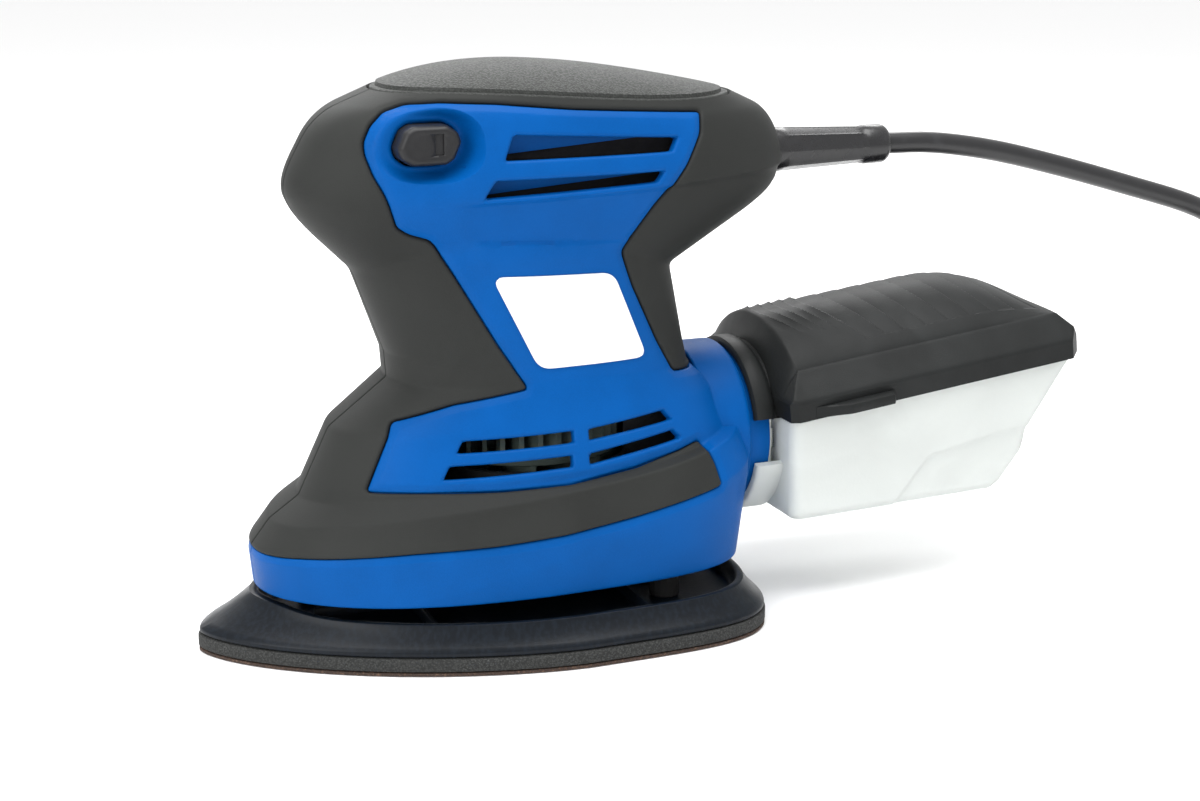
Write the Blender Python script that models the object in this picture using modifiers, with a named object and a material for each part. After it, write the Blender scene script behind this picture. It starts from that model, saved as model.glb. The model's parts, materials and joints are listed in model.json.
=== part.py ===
"""A corded delta palm sander, built as the assembly that comes apart on a bench.

The frame has its origin at the centre of the sanding face, +Z up, the nose of the pad towards -X and the
dust box towards +X. Lengths and places below are in millimetres, and the helpers turn them into metres.
"""

import math

import bmesh
import bpy
import numpy as np
from mathutils import Matrix, Vector

MM = 0.001
GAP = 0.3

# Driving dimensions
PAD_LENGTH = 150.0
PAD_WIDTH = 99.0
MOTOR_X = 16.0
ORBIT_RADIUS = 1.0
WALL = 3.8
GRIP_THICKNESS = 1.5
CORD_DIAMETER = 6.0

# Heights of the pad's layers
SHEET_TOP = 0.8
FOAM_BOTTOM, FOAM_TOP = 1.1, 4.6
PLATEN_BOTTOM, PLATEN_FLOOR, PLATEN_RIM = 4.9, 8.0, 12.3

# Shape of the pad's outline: see iron_outline
PAD_WIDEST_X = 17.0
PAD_SIDE_POWER, PAD_TIP_POWER, PAD_REAR_POWER = 1.58, 0.65, 4.6

# Body rings: front x, rear x, half width, x where widest, front power, rear power, heights from front to rear
BODY_RINGS = {
    "sole": (-59.5, 73.5, 39.0, 17, 2.1, 3.6, (16, 16, 16, 16)),
    "belt": (-60.5, 74.5, 40.0, 17, 2.1, 3.6, (27, 31.7, 35.6, 45)),
    "brow": (-55.0, 72.0, 37.5, 17, 2.1, 3.4, (34, 40.5, 45, 53)),
    "shoulder": (-47.0, 70.0, 34.0, 17, 2.1, 3.2, (39.5, 44.6, 46.6, 54)),
    "middle": (-38.5, 66.0, 30.5, 17, 2.2, 3.0, (57, 59, 61, 63)),
    "neck_low": (-22.5, 60.0, 27.0, 18, 2.4, 2.8, (69, 70, 70, 69)),
    "neck": (-23.0, 58.5, 26.5, 18, 2.4, 2.8, (76, 74, 74, 76)),
    "neck_top": (-31.0, 55.0, 26.5, 16, 2.3, 2.6, (98, 107, 104.5, 95)),
    "under_grip": (-45.0, 84.0, 29.5, 20, 2.2, 2.4, (112, 114, 115, 112)),
    "grip": (-49.0, 88.5, 31.0, 20, 2.2, 2.4, (121, 119.5, 120, 119)),
    "crown": (-39.5, 85.0, 29.5, 20, 2.2, 2.4, (138, 138, 135.5, 135)),
    "rim": (-24.5, 73.0, 26.3, 20, 2.3, 2.6, (143.8, 143.3, 140.8, 140.5)),
}
RING_POINTS = 12
CAVITY_POINTS = 8
CAVITY_RINGS = [
    "sole", "belt", "shoulder", "middle", "neck_low", "neck_top", "under_grip", "crown", "rim",
]
CROWN_TOP, CROWN_X = 150.2, 15.0
CROWN_FALL_FRONT, CROWN_FALL_REAR = 0.0038, 0.0029

# Side outline (x, z) of the black soft grip: nose, belt strip, top band and rear
SOFT_GRIP_OUTLINE = [
    (-75, 27), (-60, 27), (-52, 28.5), (-40, 29.6), (-26, 30.8), (-5, 31.5), (13, 32.7), (32, 35.3), (45, 37.5),
    (58.5, 39.8), (57, 46), (54.5, 51.2), (48, 49.6), (35, 47.2), (16, 45.2), (-2, 44.7), (-24.5, 44.6),
    (-34.5, 44.4), (-26.5, 61.5), (-11.5, 66), (7.5, 69), (0, 80.5), (-11, 99.5), (-15, 106), (-17, 108),
    (-22, 109.5), (-25, 111.5), (-28, 120), (-30.5, 125), (-32, 130), (-32, 133), (-30, 137), (-26.5, 140.4),
    (-21, 142.2), (-13, 142.6), (0, 142), (20, 140), (56, 137.6), (55, 132), (50, 124), (42, 114.5), (34, 102.5),
    (37.5, 93), (45, 78), (50.5, 69), (75, 66), (100, 100), (100, 152), (-75, 152),
]
LABEL_OUTLINE = [
    (-1.5, 96), (0, 98.3), (29.3, 97.4), (31.5, 95.3), (40.6, 75.7), (38.5, 74), (13.6, 73.7), (11.3, 75.5),
]
VENT_OUTLINES = [
    [(3.5, 134.3), (48, 131.5), (46, 128), (1, 128)],
    [(-1.5, 123.3), (43.5, 123.3), (41.5, 120.5), (-4.5, 118.8)],
    [(-10.7, 57.2), (18.2, 57.8), (18.2, 54.8), (-12.4, 54.2)],
    [(-14.4, 51.1), (17.4, 51.7), (17.4, 48.8), (-16.3, 47.8)],
    [(22.4, 57.8), (44.4, 60.3), (46.7, 57.6), (22.4, 55)],
    [(22, 51.6), (46.7, 55), (49, 52.6), (22, 48.9)],
]

# Switch: a bar across the grip, pressed in from one side for on and from the other for off
SWITCH_X, SWITCH_Z = -17.0, 132.2
SWITCH_FACE_Y, SWITCH_TRAVEL = 27.0, 4.0
WELL_FLOOR_Y, WELL_FLOOR_THICK = 20.0, 2.0
WELL_HALF_X, WELL_HALF_Z = 13.4, 9.3
SWITCH_OUTLINE = [
    (-8.2, -0.6), (-7.4, -3.0), (-4.6, -4.9), (4.2, -4.9), (6.4, -3.6), (8.2, 0.6), (7.4, 3.0), (4.6, 4.9),
    (-4.2, 4.9), (-6.4, 3.6),
]

# Screws through the two halves: x, z, and the y of the head's seat
SCREWS = [(-36, 118, 9), (68, 134, 10), (-14.6, 92, 8), (47.2, 90, 8), (-38, 37.2, 12)]
SCREW_RADIUS, SCREW_HEAD_RADIUS, SCREW_HEAD_HEIGHT, SCREW_LENGTH = 1.6, 3.2, 2.2, 18.0
BOSS_RADIUS, BORE_RADIUS = 4.6, 3.6

# Elastic posts between pad and housing
POSTS = [(-34, 0), (46, -26.5), (46, 26.5)]
POST_RADIUS, POST_TOP, SOCKET_RADIUS, SOCKET_TOP = 4.0, 30.0, 5.6, 31.5
DUST_HOLES = [(-50, 0), (-22, 0), (-10, -27), (-10, 27), (20, -33), (20, 33), (46, -13), (46, 13)]
DUST_HOLE_RADIUS = 4.0

# Dust outlet and box
OUTLET_Z = 46.0
OUTLET_END_X = 79.5
BOX_OUTLINE = [(83, 24), (82, 52.4), (171.5, 63.4), (159, 44.4), (157, 36.4), (149, 26)]
BOX_HALF_WIDTH, BOX_WALL = 30.5, 1.8
LID_TILT = math.radians(6.6)
LID_FRONT_X, LID_FRONT_Z = 81.0, 53.2
LID_LENGTH, LID_HALF_WIDTH = 94.0, 32.5
COLLAR_INNER, COLLAR_OUTER, COLLAR_FRONT_X = 22.5, 25.0, 74.0

# Cord: points of its free route after the guard, then the coil and the plug
GUARD_END_X, CORD_EXIT_Z = 124.0, 122.6
CORD_ROUTE = [
    (124.3, 0, 122.6), (140, 0, 122), (160, 0, 118.8), (182, -0.5, 113.3), (206, -1.5, 106.4), (228, -3, 99.6),
    (239.2, -2.6, 94.1), (248.7, -1.6, 84.9), (254.3, 0, 73.7), (259, 2, 59.3), (263.7, 4.2, 44.9),
    (268.5, 6, 35.4), (276, 7.6, 27.9), (285.5, 8.7, 23.1), (296, 9, 21.4),
]
COIL_CENTRE = (296.0, -32.0)
COIL_TURN_RADIUS = 41.0
COIL_INNER, COIL_OUTER, COIL_HEIGHT = 25.8, 44.2, 24.6
PLUG_BODY_X, PLUG_HEAD_X, PLUG_HALF_WIDTH, PLUG_HEIGHT = 338.0, 375.0, 15.0, 13.9
PIN_RADIUS, PIN_SPACING, PIN_LENGTH = 2.4, 19.0, 19.0


def deg(angle):
    return math.radians(angle)


def clear_scene():
    for obj in list(bpy.data.objects):
        bpy.data.objects.remove(obj)


def new_collection(name):
    made = bpy.data.collections.new(name)
    bpy.context.scene.collection.children.link(made)
    return made


clear_scene()
PARTS = new_collection("palm_sander")
CUTTERS = new_collection("cutters")
CUTTERS.hide_render = True


def material(name, colour, roughness, metallic=0.0):
    """A Principled material with one colour."""
    made = bpy.data.materials.get(name) or bpy.data.materials.new(name)
    made.use_nodes = True
    shader = made.node_tree.nodes["Principled BSDF"]
    shader.inputs["Base Color"].default_value = (*colour, 1)
    shader.inputs["Roughness"].default_value = roughness
    shader.inputs["Metallic"].default_value = metallic
    return made


BLUE = material("blue_nylon", (0.0, 0.14, 0.55), 0.45)
SOFT = material("soft_grip_rubber", (0.05, 0.052, 0.05), 0.7)
BLACK = material("black_nylon", (0.02, 0.021, 0.024), 0.4)
GUARD = material("cord_rubber", (0.012, 0.012, 0.013), 0.35)
FOAM = material("foam", (0.03, 0.03, 0.028), 0.95)
PAPER = material("abrasive_paper", (0.25, 0.1, 0.05), 0.9)
MILKY = material("milky_plastic", (0.85, 0.9, 0.88), 0.35)
STEEL = material("steel", (0.55, 0.56, 0.58), 0.3, 1.0)
COPPER = material("copper_wire", (0.6, 0.25, 0.1), 0.35, 1.0)
BRASS = material("brass", (0.75, 0.55, 0.2), 0.3, 1.0)
CARBON = material("carbon", (0.03, 0.03, 0.03), 0.6)
WHITE = material("label_film", (0.9, 0.9, 0.9), 0.4)
FLEECE = material("filter_fleece", (0.8, 0.78, 0.7), 0.9)
RED = material("red_insulation", (0.45, 0.05, 0.03), 0.5)


def link(obj, finish):
    """Puts an object among the parts with its material, or among the cutters if finish is None."""
    if finish is None:
        CUTTERS.objects.link(obj)
        obj.hide_render = True
        obj.display_type = "WIRE"
    else:
        PARTS.objects.link(obj)
        obj.data.materials.append(finish)
    return obj


def mesh_object(name, mesh, finish):
    mesh.shade_smooth()
    mesh.set_sharp_from_angle(angle=deg(35))
    return link(bpy.data.objects.new(name, mesh), finish)


def boolean(obj, operation, cutter):
    """Adds an exact Boolean modifier."""
    modifier = obj.modifiers.new(operation.lower(), "BOOLEAN")
    modifier.operation = operation
    modifier.solver = "EXACT"
    modifier.object = cutter
    return obj


def cylinder(name, radius, low, high, place=(0, 0), axis="Z", finish=None, sides=24, top_radius=None):
    """A cylinder or cone along an axis from low to high. place is its centre in the other two axes, in order."""
    mesh = bpy.data.meshes.new(name)
    bm = bmesh.new()
    bmesh.ops.create_cone(
        bm, cap_ends=True, segments=sides, radius1=radius * MM, depth=(high - low) * MM,
        radius2=(radius if top_radius is None else top_radius) * MM,
    )
    centre = (low + high) / 2
    turn = {"Z": Matrix(), "X": Matrix.Rotation(deg(90), 4, "Y"), "Y": Matrix.Rotation(deg(-90), 4, "X")}[axis]
    spot = {
        "Z": (place[0], place[1], centre), "X": (centre, place[0], place[1]), "Y": (place[0], centre, place[1]),
    }[axis]
    bm.transform(Matrix.Translation(Vector(spot) * MM) @ turn)
    bm.to_mesh(mesh)
    bm.free()
    return mesh_object(name, mesh, finish)


def block(name, low, high, finish=None):
    """A box between two corners."""
    mesh = bpy.data.meshes.new(name)
    bm = bmesh.new()
    low, high = Vector(low) * MM, Vector(high) * MM
    size = high - low
    bmesh.ops.create_cube(bm, size=1, matrix=Matrix.Translation((low + high) / 2) @ Matrix.Diagonal((*size, 1)))
    bm.to_mesh(mesh)
    bm.free()
    return mesh_object(name, mesh, finish)


def bevelled(obj, width, segments=2):
    modifier = obj.modifiers.new("bevel", "BEVEL")
    modifier.width = width * MM
    modifier.segments = segments
    modifier.limit_method = "ANGLE"
    modifier.angle_limit = deg(40)
    return obj


PLANES = {
    "XY": Matrix(),
    "XZ": Matrix.Rotation(deg(90), 4, "X"),
    "YZ": Matrix(((0, 0, 1, 0), (1, 0, 0, 0), (0, 1, 0, 0), (0, 0, 0, 1))),
}


def prism(name, outline, low, high, plane="XZ", finish=None):
    """A flat outline in a plane, given thickness from low to high along the plane's normal axis."""
    curve = bpy.data.curves.new(name, "CURVE")
    curve.dimensions = "2D"
    curve.fill_mode = "BOTH"
    curve.extrude = (high - low) / 2 * MM
    spline = curve.splines.new("POLY")
    spline.points.add(len(outline) - 1)
    for point, (a, b) in zip(spline.points, outline):
        point.co = (a * MM, b * MM, 0, 1)
    spline.use_cyclic_u = True
    obj = bpy.data.objects.new(name, curve)
    bpy.context.scene.collection.objects.link(obj)
    mesh = bpy.data.meshes.new_from_object(obj.evaluated_get(bpy.context.evaluated_depsgraph_get()))
    bpy.data.objects.remove(obj)
    bm = bmesh.new()
    bm.from_mesh(mesh)
    bmesh.ops.remove_doubles(bm, verts=bm.verts, dist=1e-6)
    normal = {"XY": (0, 0, 1), "XZ": (0, 1, 0), "YZ": (1, 0, 0)}[plane]
    bm.transform(Matrix.Translation(Vector(normal) * (low + high) / 2 * MM) @ PLANES[plane])
    bmesh.ops.recalc_face_normals(bm, faces=bm.faces)
    bm.to_mesh(mesh)
    bm.free()
    return mesh_object(name, mesh, finish)


def turned(name, profile, place=(MOTOR_X, 0), axis="Z", finish=None, steps=28, closed=True):
    """A turned solid. profile holds (radius, height) points that run down the outer side."""
    mesh = bpy.data.meshes.new(name)
    count = len(profile)
    edges = [(i, (i + 1) % count) for i in range(count if closed else count - 1)]
    mesh.from_pydata([(r * MM, 0, h * MM) for r, h in profile], edges, [])
    obj = link(bpy.data.objects.new(name, mesh), finish)
    screw = obj.modifiers.new("turn", "SCREW")
    screw.steps = screw.render_steps = steps
    screw.use_merge_vertices = True
    screw.merge_threshold = 1e-6
    if axis == "X":
        obj.matrix_world = Matrix.Translation((0, place[0] * MM, place[1] * MM)) @ Matrix.Rotation(deg(90), 4, "Y")
    else:
        obj.location = (place[0] * MM, place[1] * MM, 0)
    return obj


def wire(name, points, radius, cyclic=False, resolution=2, factors=None):
    """A round wire's curve along points. factors are the points' own radii as shares of the wire's radius."""
    curve = bpy.data.curves.new(name, "CURVE")
    curve.dimensions = "3D"
    curve.bevel_depth = radius * MM
    curve.bevel_resolution = resolution
    curve.use_fill_caps = True
    spline = curve.splines.new("POLY")
    spline.use_cyclic_u = cyclic
    spline.points.add(len(points) - 1)
    for i, (point, place) in enumerate(zip(spline.points, points)):
        point.co = (*(Vector(place) * MM), 1)
        point.radius = factors[i] if factors else 1
    return bpy.data.objects.new(name, curve)


def tube(name, points, radius, finish, cyclic=False, resolution=2):
    """A round wire along points."""
    return link(wire(name, points, radius, cyclic, resolution), finish)


def solid_tube(name, points, radius, finish=None, factors=None):
    """A round wire as a closed mesh, which can be cut or joined."""
    obj = wire(name, points, radius, factors=factors)
    bpy.context.scene.collection.objects.link(obj)
    mesh = bpy.data.meshes.new_from_object(obj.evaluated_get(bpy.context.evaluated_depsgraph_get()))
    bpy.data.objects.remove(obj)
    bm = bmesh.new()
    bm.from_mesh(mesh)
    bmesh.ops.remove_doubles(bm, verts=bm.verts, dist=1e-6)
    bmesh.ops.recalc_face_normals(bm, faces=bm.faces)
    bm.to_mesh(mesh)
    bm.free()
    return mesh_object(name, mesh, finish)


def smooth_route(points, spacing):
    """Points a few millimetres apart on the Catmull-Rom curve through a route's own points."""
    route = [Vector(p) for p in points]
    route = [2 * route[0] - route[1], *route, 2 * route[-1] - route[-2]]
    found = []
    for a, b, c, d in zip(route, route[1:], route[2:], route[3:]):
        steps = max(2, round((c - b).length / spacing))
        for i in range(steps):
            t = i / steps
            found.append(
                0.5 * (2 * b + (c - a) * t + (2 * a - 5 * b + 4 * c - d) * t**2 + (3 * b - a - 3 * c + d) * t**3)
            )
    return [*found, route[-2]]


def offset_outline(outline, distance):
    """The outline moved outwards by distance, with mitred corners. It works for either direction of travel."""
    points = [Vector(p) for p in outline]
    area = sum(a.x * b.y - b.x * a.y for a, b in zip(points, points[1:] + points[:1]))
    sign = 1 if area > 0 else -1
    moved = []
    for before, here, after in zip(points[-1:] + points[:-1], points, points[1:] + points[:1]):
        first, second = (here - before).normalized(), (after - here).normalized()
        normals = Vector((first.y, -first.x)) * sign, Vector((second.y, -second.x)) * sign
        middle = (normals[0] + normals[1]).normalized()
        moved.append(here + middle * distance / max(0.3, middle.dot(normals[0])))
    return [tuple(p) for p in moved]


def height_along(heights, share):
    """The cubic through four heights at shares 0, 1/3, 2/3 and 1."""
    return np.polyval(np.polyfit([0, 1 / 3, 2 / 3, 1], heights, 3), share)


def half_section(front, rear, half_width, widest, front_power, rear_power, count=RING_POINTS):
    """Half of a level section, front to rear, as two quarter superellipses that meet where it is widest."""
    a = np.linspace(0, math.pi / 2, count // 2 + 1)
    c, s = np.clip(np.cos(a), 0, 1), np.clip(np.sin(a), 0, 1)
    x = np.r_[widest - (widest - front) * c ** (2 / front_power), widest + (rear - widest) * s[1:] ** (2 / rear_power)]
    w = np.r_[half_width * s ** (2 / front_power), half_width * c[1:] ** (2 / rear_power)]
    return x, w


def body_ring(name, inset=0.0, lift=0.0, count=RING_POINTS):
    """The half section of a named body ring with its heights: x, half width and z from front to rear."""
    front, rear, half, widest, p, q, heights = BODY_RINGS[name]
    x, w = half_section(front + inset, rear - inset, half - inset, widest, p, q, count)
    share = (x - x[0]) / (x[-1] - x[0])
    return x, w, height_along(heights, share) + lift


def loft(name, rings, finish=None):
    """A closed solid through rings from the lowest to the highest. Each ring is x, half width and z, front to
    rear, and is the same on both sides. The two ends are strips across the ring. The sides are triangles that
    all lean one way, so that an inset copy keeps its distance everywhere."""
    bm = bmesh.new()
    rows = []
    for x, w, z in rings:
        near = [(x[i], -w[i], z[i]) for i in range(len(x))]
        far = [(x[i], w[i], z[i]) for i in range(len(x) - 2, 0, -1)]
        rows.append([bm.verts.new(Vector(map(float, p)) * MM) for p in near + far])
    count, last = len(rows[0]), len(rings[0][0]) - 1
    for low, high in zip(rows, rows[1:]):
        for i in range(count):
            j = (i + 1) % count
            bm.faces.new((low[i], low[j], high[j]))
            bm.faces.new((low[i], high[j], high[i]))
    for row, flip in ((rows[0], True), (rows[-1], False)):
        far = [row[0], *row[:last:-1], row[last]]
        for i in range(last):
            corners = [row[i], row[i + 1], far[i + 1], far[i]]
            corners = [v for k, v in enumerate(corners) if v not in corners[:k]]
            bm.faces.new(corners[::-1] if flip else corners)
    mesh = bpy.data.meshes.new(name)
    bm.to_mesh(mesh)
    bm.free()
    return mesh_object(name, mesh, finish)


def body_loft(name, inset=0.0, bottom_drop=0.0, finish=None, names=tuple(BODY_RINGS), count=RING_POINTS):
    """The body's outer form, or the same form with every section inset and its top lowered."""
    rings = []
    for ring in names:
        lift = -bottom_drop if ring == names[0] else (-inset if ring == names[-1] else 0)
        rings.append(body_ring(ring, inset, lift, count))
    return loft(name, rings, finish)


def iron_outline(tip, rear, half_width, widest, side, tip_power, rear_power, inset=0.0, count=13):
    """Half of the pad's outline, tip to rear: half width W (1 - s^side)^tip_power ahead of the widest point, with
    s the share of the way to the tip, and a superellipse behind it. Returns x and half width."""
    t = np.linspace(0, 1, count)
    s = 1 - t**1.5
    a = np.linspace(0, math.pi / 2, 9)[1:]
    front, back, half = tip + inset * 1.4, rear - inset, half_width - inset
    x = np.r_[widest - (widest - front) * s, widest + (back - widest) * np.sin(a) ** (2 / rear_power)]
    w = np.r_[half * np.clip(1 - s**side, 0, 1) ** tip_power, half * np.clip(np.cos(a), 0, 1) ** (2 / rear_power)]
    return x, w


def pad_outline(inset=0.0):
    return iron_outline(
        -PAD_LENGTH / 2, PAD_LENGTH / 2, PAD_WIDTH / 2, PAD_WIDEST_X, PAD_SIDE_POWER, PAD_TIP_POWER,
        PAD_REAR_POWER, inset,
    )


def rim_outline(inset=0.0):
    return iron_outline(-61.5, 70.5, 44.8, PAD_WIDEST_X, 1.8, 0.6, 4.4, inset)


def level(outline, z):
    """A ring at one height from an outline's x and half width."""
    x, w = outline
    return x, w, np.full_like(x, z)


# ---------------------------------------------------------------- shared cutters


def make_cutters():
    """The cutters and half spaces that several pieces share."""
    made = {
        "skin_in": body_loft("cut_skin_in", GRIP_THICKNESS, 2),
        "skin_in_deep": body_loft("cut_skin_in_deep", GRIP_THICKNESS + 1.5 * GAP, 2),
        "body": body_loft("cut_body"),
        "label_out": body_loft("cut_label_out", -0.7, 2),
        "label_in": body_loft("cut_label_in", -0.3, 2),
        "left": block("cut_left", (-300, -100, -50), (300, -GAP / 2, 300)),
        "right": block("cut_right", (-300, GAP / 2, -50), (300, 100, 300)),
        "outlet": turned(
            "cut_outlet",
            [(0, 95), (22.8, 95), (22.8, 74), (25.6, 66.5), (25.6, 58), (0, 58)],
            (0, OUTLET_Z), "X", closed=False,
        ),
    }
    made["outlet"].modifiers["turn"].use_normal_calculate = False
    return made


CUT = make_cutters()


def well_outline(grow=0.0, count=20):
    """The superellipse of the switch's well in side view."""
    found = []
    for i in range(count):
        a = 2 * math.pi * i / count
        c, s = math.cos(a), math.sin(a)
        found.append((
            SWITCH_X + math.copysign(abs(c) ** 0.8, c) * (WELL_HALF_X + grow),
            SWITCH_Z + math.copysign(abs(s) ** 0.8, s) * (WELL_HALF_Z + grow),
        ))
    return found


def switch_outline(grow=0.0):
    return [(SWITCH_X + x, SWITCH_Z + z) for x, z in offset_outline(SWITCH_OUTLINE, grow)]


# ---------------------------------------------------------------- housing


def add_well(shell, side):
    """Adds the cup behind the switch's well, and cuts the well and the switch's slot."""
    inner, outer = sorted((side * (WELL_FLOOR_Y - WELL_FLOOR_THICK), side * 32))
    cup = prism(f"add_well_cup_{side}", well_outline(2.0), inner, outer)
    boolean(cup, "INTERSECT", CUT["skin_in_deep"])
    boolean(shell, "UNION", cup)
    inner, outer = sorted((side * WELL_FLOOR_Y, side * 40))
    boolean(shell, "DIFFERENCE", prism(f"cut_well_{side}", well_outline(), inner, outer))
    inner, outer = sorted((side * 10, side * 40))
    boolean(shell, "DIFFERENCE", prism(f"cut_switch_slot_{side}", switch_outline(0.4), inner, outer))


def add_bosses(shell, side):
    """Adds the screw bosses of one half and bores them."""
    for i, (x, z, seat) in enumerate(SCREWS):
        inner, outer = sorted((side * -3, side * 36))
        boss = cylinder(f"add_boss_{side}_{i}", BOSS_RADIUS, inner, outer, (x, z), "Y", sides=12)
        boolean(boss, "INTERSECT", CUT["skin_in_deep"])
        boolean(shell, "UNION", boss)
        if side > 0:
            bore = cylinder(f"cut_head_{i}", BORE_RADIUS, seat, 60, (x, z), "Y", sides=12)
            boolean(shell, "DIFFERENCE", bore)
        low, high = (-10, 60) if side > 0 else (seat - SCREW_LENGTH - 1, 10)
        bore = cylinder(f"cut_shank_{side}_{i}", SCREW_RADIUS + GAP, low, high, (x, z), "Y", sides=12)
        boolean(shell, "DIFFERENCE", bore)


def add_bearing_saddle(shell, side):
    """The rib that holds the upper bearing."""
    low, high = sorted((side * -3, side * 29))
    rib = block(f"add_saddle_{side}", (MOTOR_X - 16, low, 125), (MOTOR_X + 16, high, 129))
    boolean(rib, "INTERSECT", CUT["skin_in_deep"])
    seat = cylinder(f"cut_saddle_{side}", 11 + GAP, 120, 134, (MOTOR_X, 0))
    boolean(rib, "DIFFERENCE", seat)
    boolean(shell, "UNION", rib)


def build_housing():
    """Two blue half shells, split on the centre plane."""
    cavity = body_loft("cut_cavity", WALL, 2, names=CAVITY_RINGS, count=CAVITY_POINTS)
    vents = [prism(f"cut_vent_{i}", outline, -60, 60) for i, outline in enumerate(VENT_OUTLINES)]
    recess = prism("cut_recess", offset_outline(SOFT_GRIP_OUTLINE, GAP / 2), -60, 60)
    boolean(recess, "INTERSECT", body_loft("cut_skin_out", -2, 2))
    boolean(recess, "DIFFERENCE", CUT["skin_in_deep"])
    guard_hole = cylinder("cut_guard_hole", 6.9, 70, 120, (0, CORD_EXIT_Z), "X", sides=20)
    for name, side in (("housing_left", -1), ("housing_right", 1)):
        shell = body_loft(name, finish=BLUE)
        boolean(shell, "DIFFERENCE", cavity)
        add_bosses(shell, side)
        add_bearing_saddle(shell, side)
        add_well(shell, side)
        boolean(shell, "INTERSECT", CUT["left" if side < 0 else "right"])
        for cutter in (*vents, recess, CUT["outlet"], guard_hole):
            boolean(shell, "DIFFERENCE", cutter)


def build_soft_grips():
    """The black overmoulded grip on each half, bonded in a recess."""
    guard_hole = cylinder("cut_grip_guard_hole", 6.9, 70, 120, (0, CORD_EXIT_Z), "X", sides=20)
    for name, side in (("soft_grip_left", "left"), ("soft_grip_right", "right")):
        grip = prism(name, offset_outline(SOFT_GRIP_OUTLINE, -GAP / 2), -60, 60, finish=SOFT)
        boolean(grip, "INTERSECT", CUT["body"])
        boolean(grip, "DIFFERENCE", CUT["skin_in"])
        boolean(grip, "INTERSECT", CUT[side])
        boolean(grip, "DIFFERENCE", CUT["outlet"])
        boolean(grip, "DIFFERENCE", guard_hole)
        if side == "right":
            for i, (x, z, _) in enumerate(SCREWS):
                boolean(grip, "DIFFERENCE", bpy.data.objects[f"cut_head_{i}"])


def crown_height(x, share):
    """Height of the cap's crown at x, where share runs from 0 on the centre line to 1 on the edge."""
    fall = np.where(x < CROWN_X, CROWN_FALL_FRONT, CROWN_FALL_REAR)
    top = CROWN_TOP - fall * (x - CROWN_X) ** 2
    front, rear = BODY_RINGS["rim"][:2]
    edge = height_along(BODY_RINGS["rim"][6], np.clip((x - front) / (rear - front), 0, 1))
    return edge + np.maximum(top - edge, 0) * (1 - share**2.4)


def build_top_cap():
    """The textured palm cap, a crowned plate on top of the grip."""
    x, w, z = body_ring("rim", GAP)
    rings = [(x, w, z + GAP)]
    for share in (0.93, 0.75, 0.45, 0.15):
        inner = CROWN_X + (x - CROWN_X) * (1 - (1 - share) * 0.8)
        rings.append((inner, w * share, crown_height(inner, share) + GAP))
    loft("palm_cap", rings, SOFT)


def build_labels():
    """A film label on each side of the waist."""
    for name, side in (("label_left", "left"), ("label_right", "right")):
        label = prism(name, LABEL_OUTLINE, -60, 60, finish=WHITE)
        boolean(label, "INTERSECT", CUT["label_out"])
        boolean(label, "DIFFERENCE", CUT["label_in"])
        boolean(label, "INTERSECT", CUT[side])


def build_screws():
    """Housing screws: pan heads on the right side, with a cross slot."""
    for i, (x, z, seat) in enumerate(SCREWS):
        screw = cylinder(
            f"housing_screw_{i + 1}", SCREW_HEAD_RADIUS, seat + GAP, seat + GAP + SCREW_HEAD_HEIGHT, (x, z), "Y",
            STEEL, 16,
        )
        shank = cylinder(f"add_shank_{i}", SCREW_RADIUS, seat - SCREW_LENGTH, seat + 1, (x, z), "Y", sides=12)
        boolean(screw, "UNION", shank)
        high = seat + GAP + SCREW_HEAD_HEIGHT
        for k, (dx, dz) in enumerate(((1.9, 0.35), (0.35, 1.9))):
            slot = block(f"cut_slot_{i}_{k}", (x - dx, high - 1.2, z - dz), (x + dx, high + 1, z + dz))
            boolean(screw, "DIFFERENCE", slot)


def build_base_cover():
    """The black plate inside the skirt, with the elastic posts' sockets and the hole round the eccentric."""
    x, w = half_section(-54.5, 59.5, 34.6, 17, 2.1, 3.6, CAVITY_POINTS)
    plate = loft("base_cover", [(x, w, np.full_like(x, 24.3)), (x, w, np.full_like(x, 26.3))], BLACK)
    for i, (px, py) in enumerate(POSTS):
        place = (px - ORBIT_RADIUS, py)
        boolean(plate, "UNION", cylinder(f"add_socket_{i}", SOCKET_RADIUS + 1.8, 25, SOCKET_TOP, place, sides=14))
        boolean(plate, "DIFFERENCE", cylinder(f"cut_socket_{i}", SOCKET_RADIUS, 20, 40, place, sides=14))
    boolean(plate, "DIFFERENCE", cylinder("cut_cover_hole", 23, 20, 40, (MOTOR_X, 0), sides=24))


# ---------------------------------------------------------------- switch and wiring


def build_switch():
    """The push-through switch bar with its two faces, and the contact block under it."""
    low, high = -SWITCH_FACE_Y, SWITCH_FACE_Y - SWITCH_TRAVEL
    bar = prism("switch_bar", switch_outline(), low, high, finish=BLACK)
    bevelled(bar, 0.7, 1)
    mark = block("cut_on_mark", (SWITCH_X - 0.7, low - 1, SWITCH_Z - 2.2), (SWITCH_X + 0.7, low + 0.5, SWITCH_Z + 2.2))
    boolean(bar, "DIFFERENCE", mark)
    ring = turned("cut_off_mark", [(2.2, 2), (2.2, -2), (1.4, -2), (1.4, 2)], (SWITCH_X, 0), steps=16)
    ring.matrix_world = Matrix.Translation(Vector((SWITCH_X, high + 1.5, SWITCH_Z)) * MM) @ Matrix.Rotation(
        deg(90), 4, "X"
    )
    boolean(bar, "DIFFERENCE", ring)
    bevelled(block("switch_block", (-27, -9, 112), (-8, 9, 125.5), BLACK), 0.8, 1)


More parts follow.
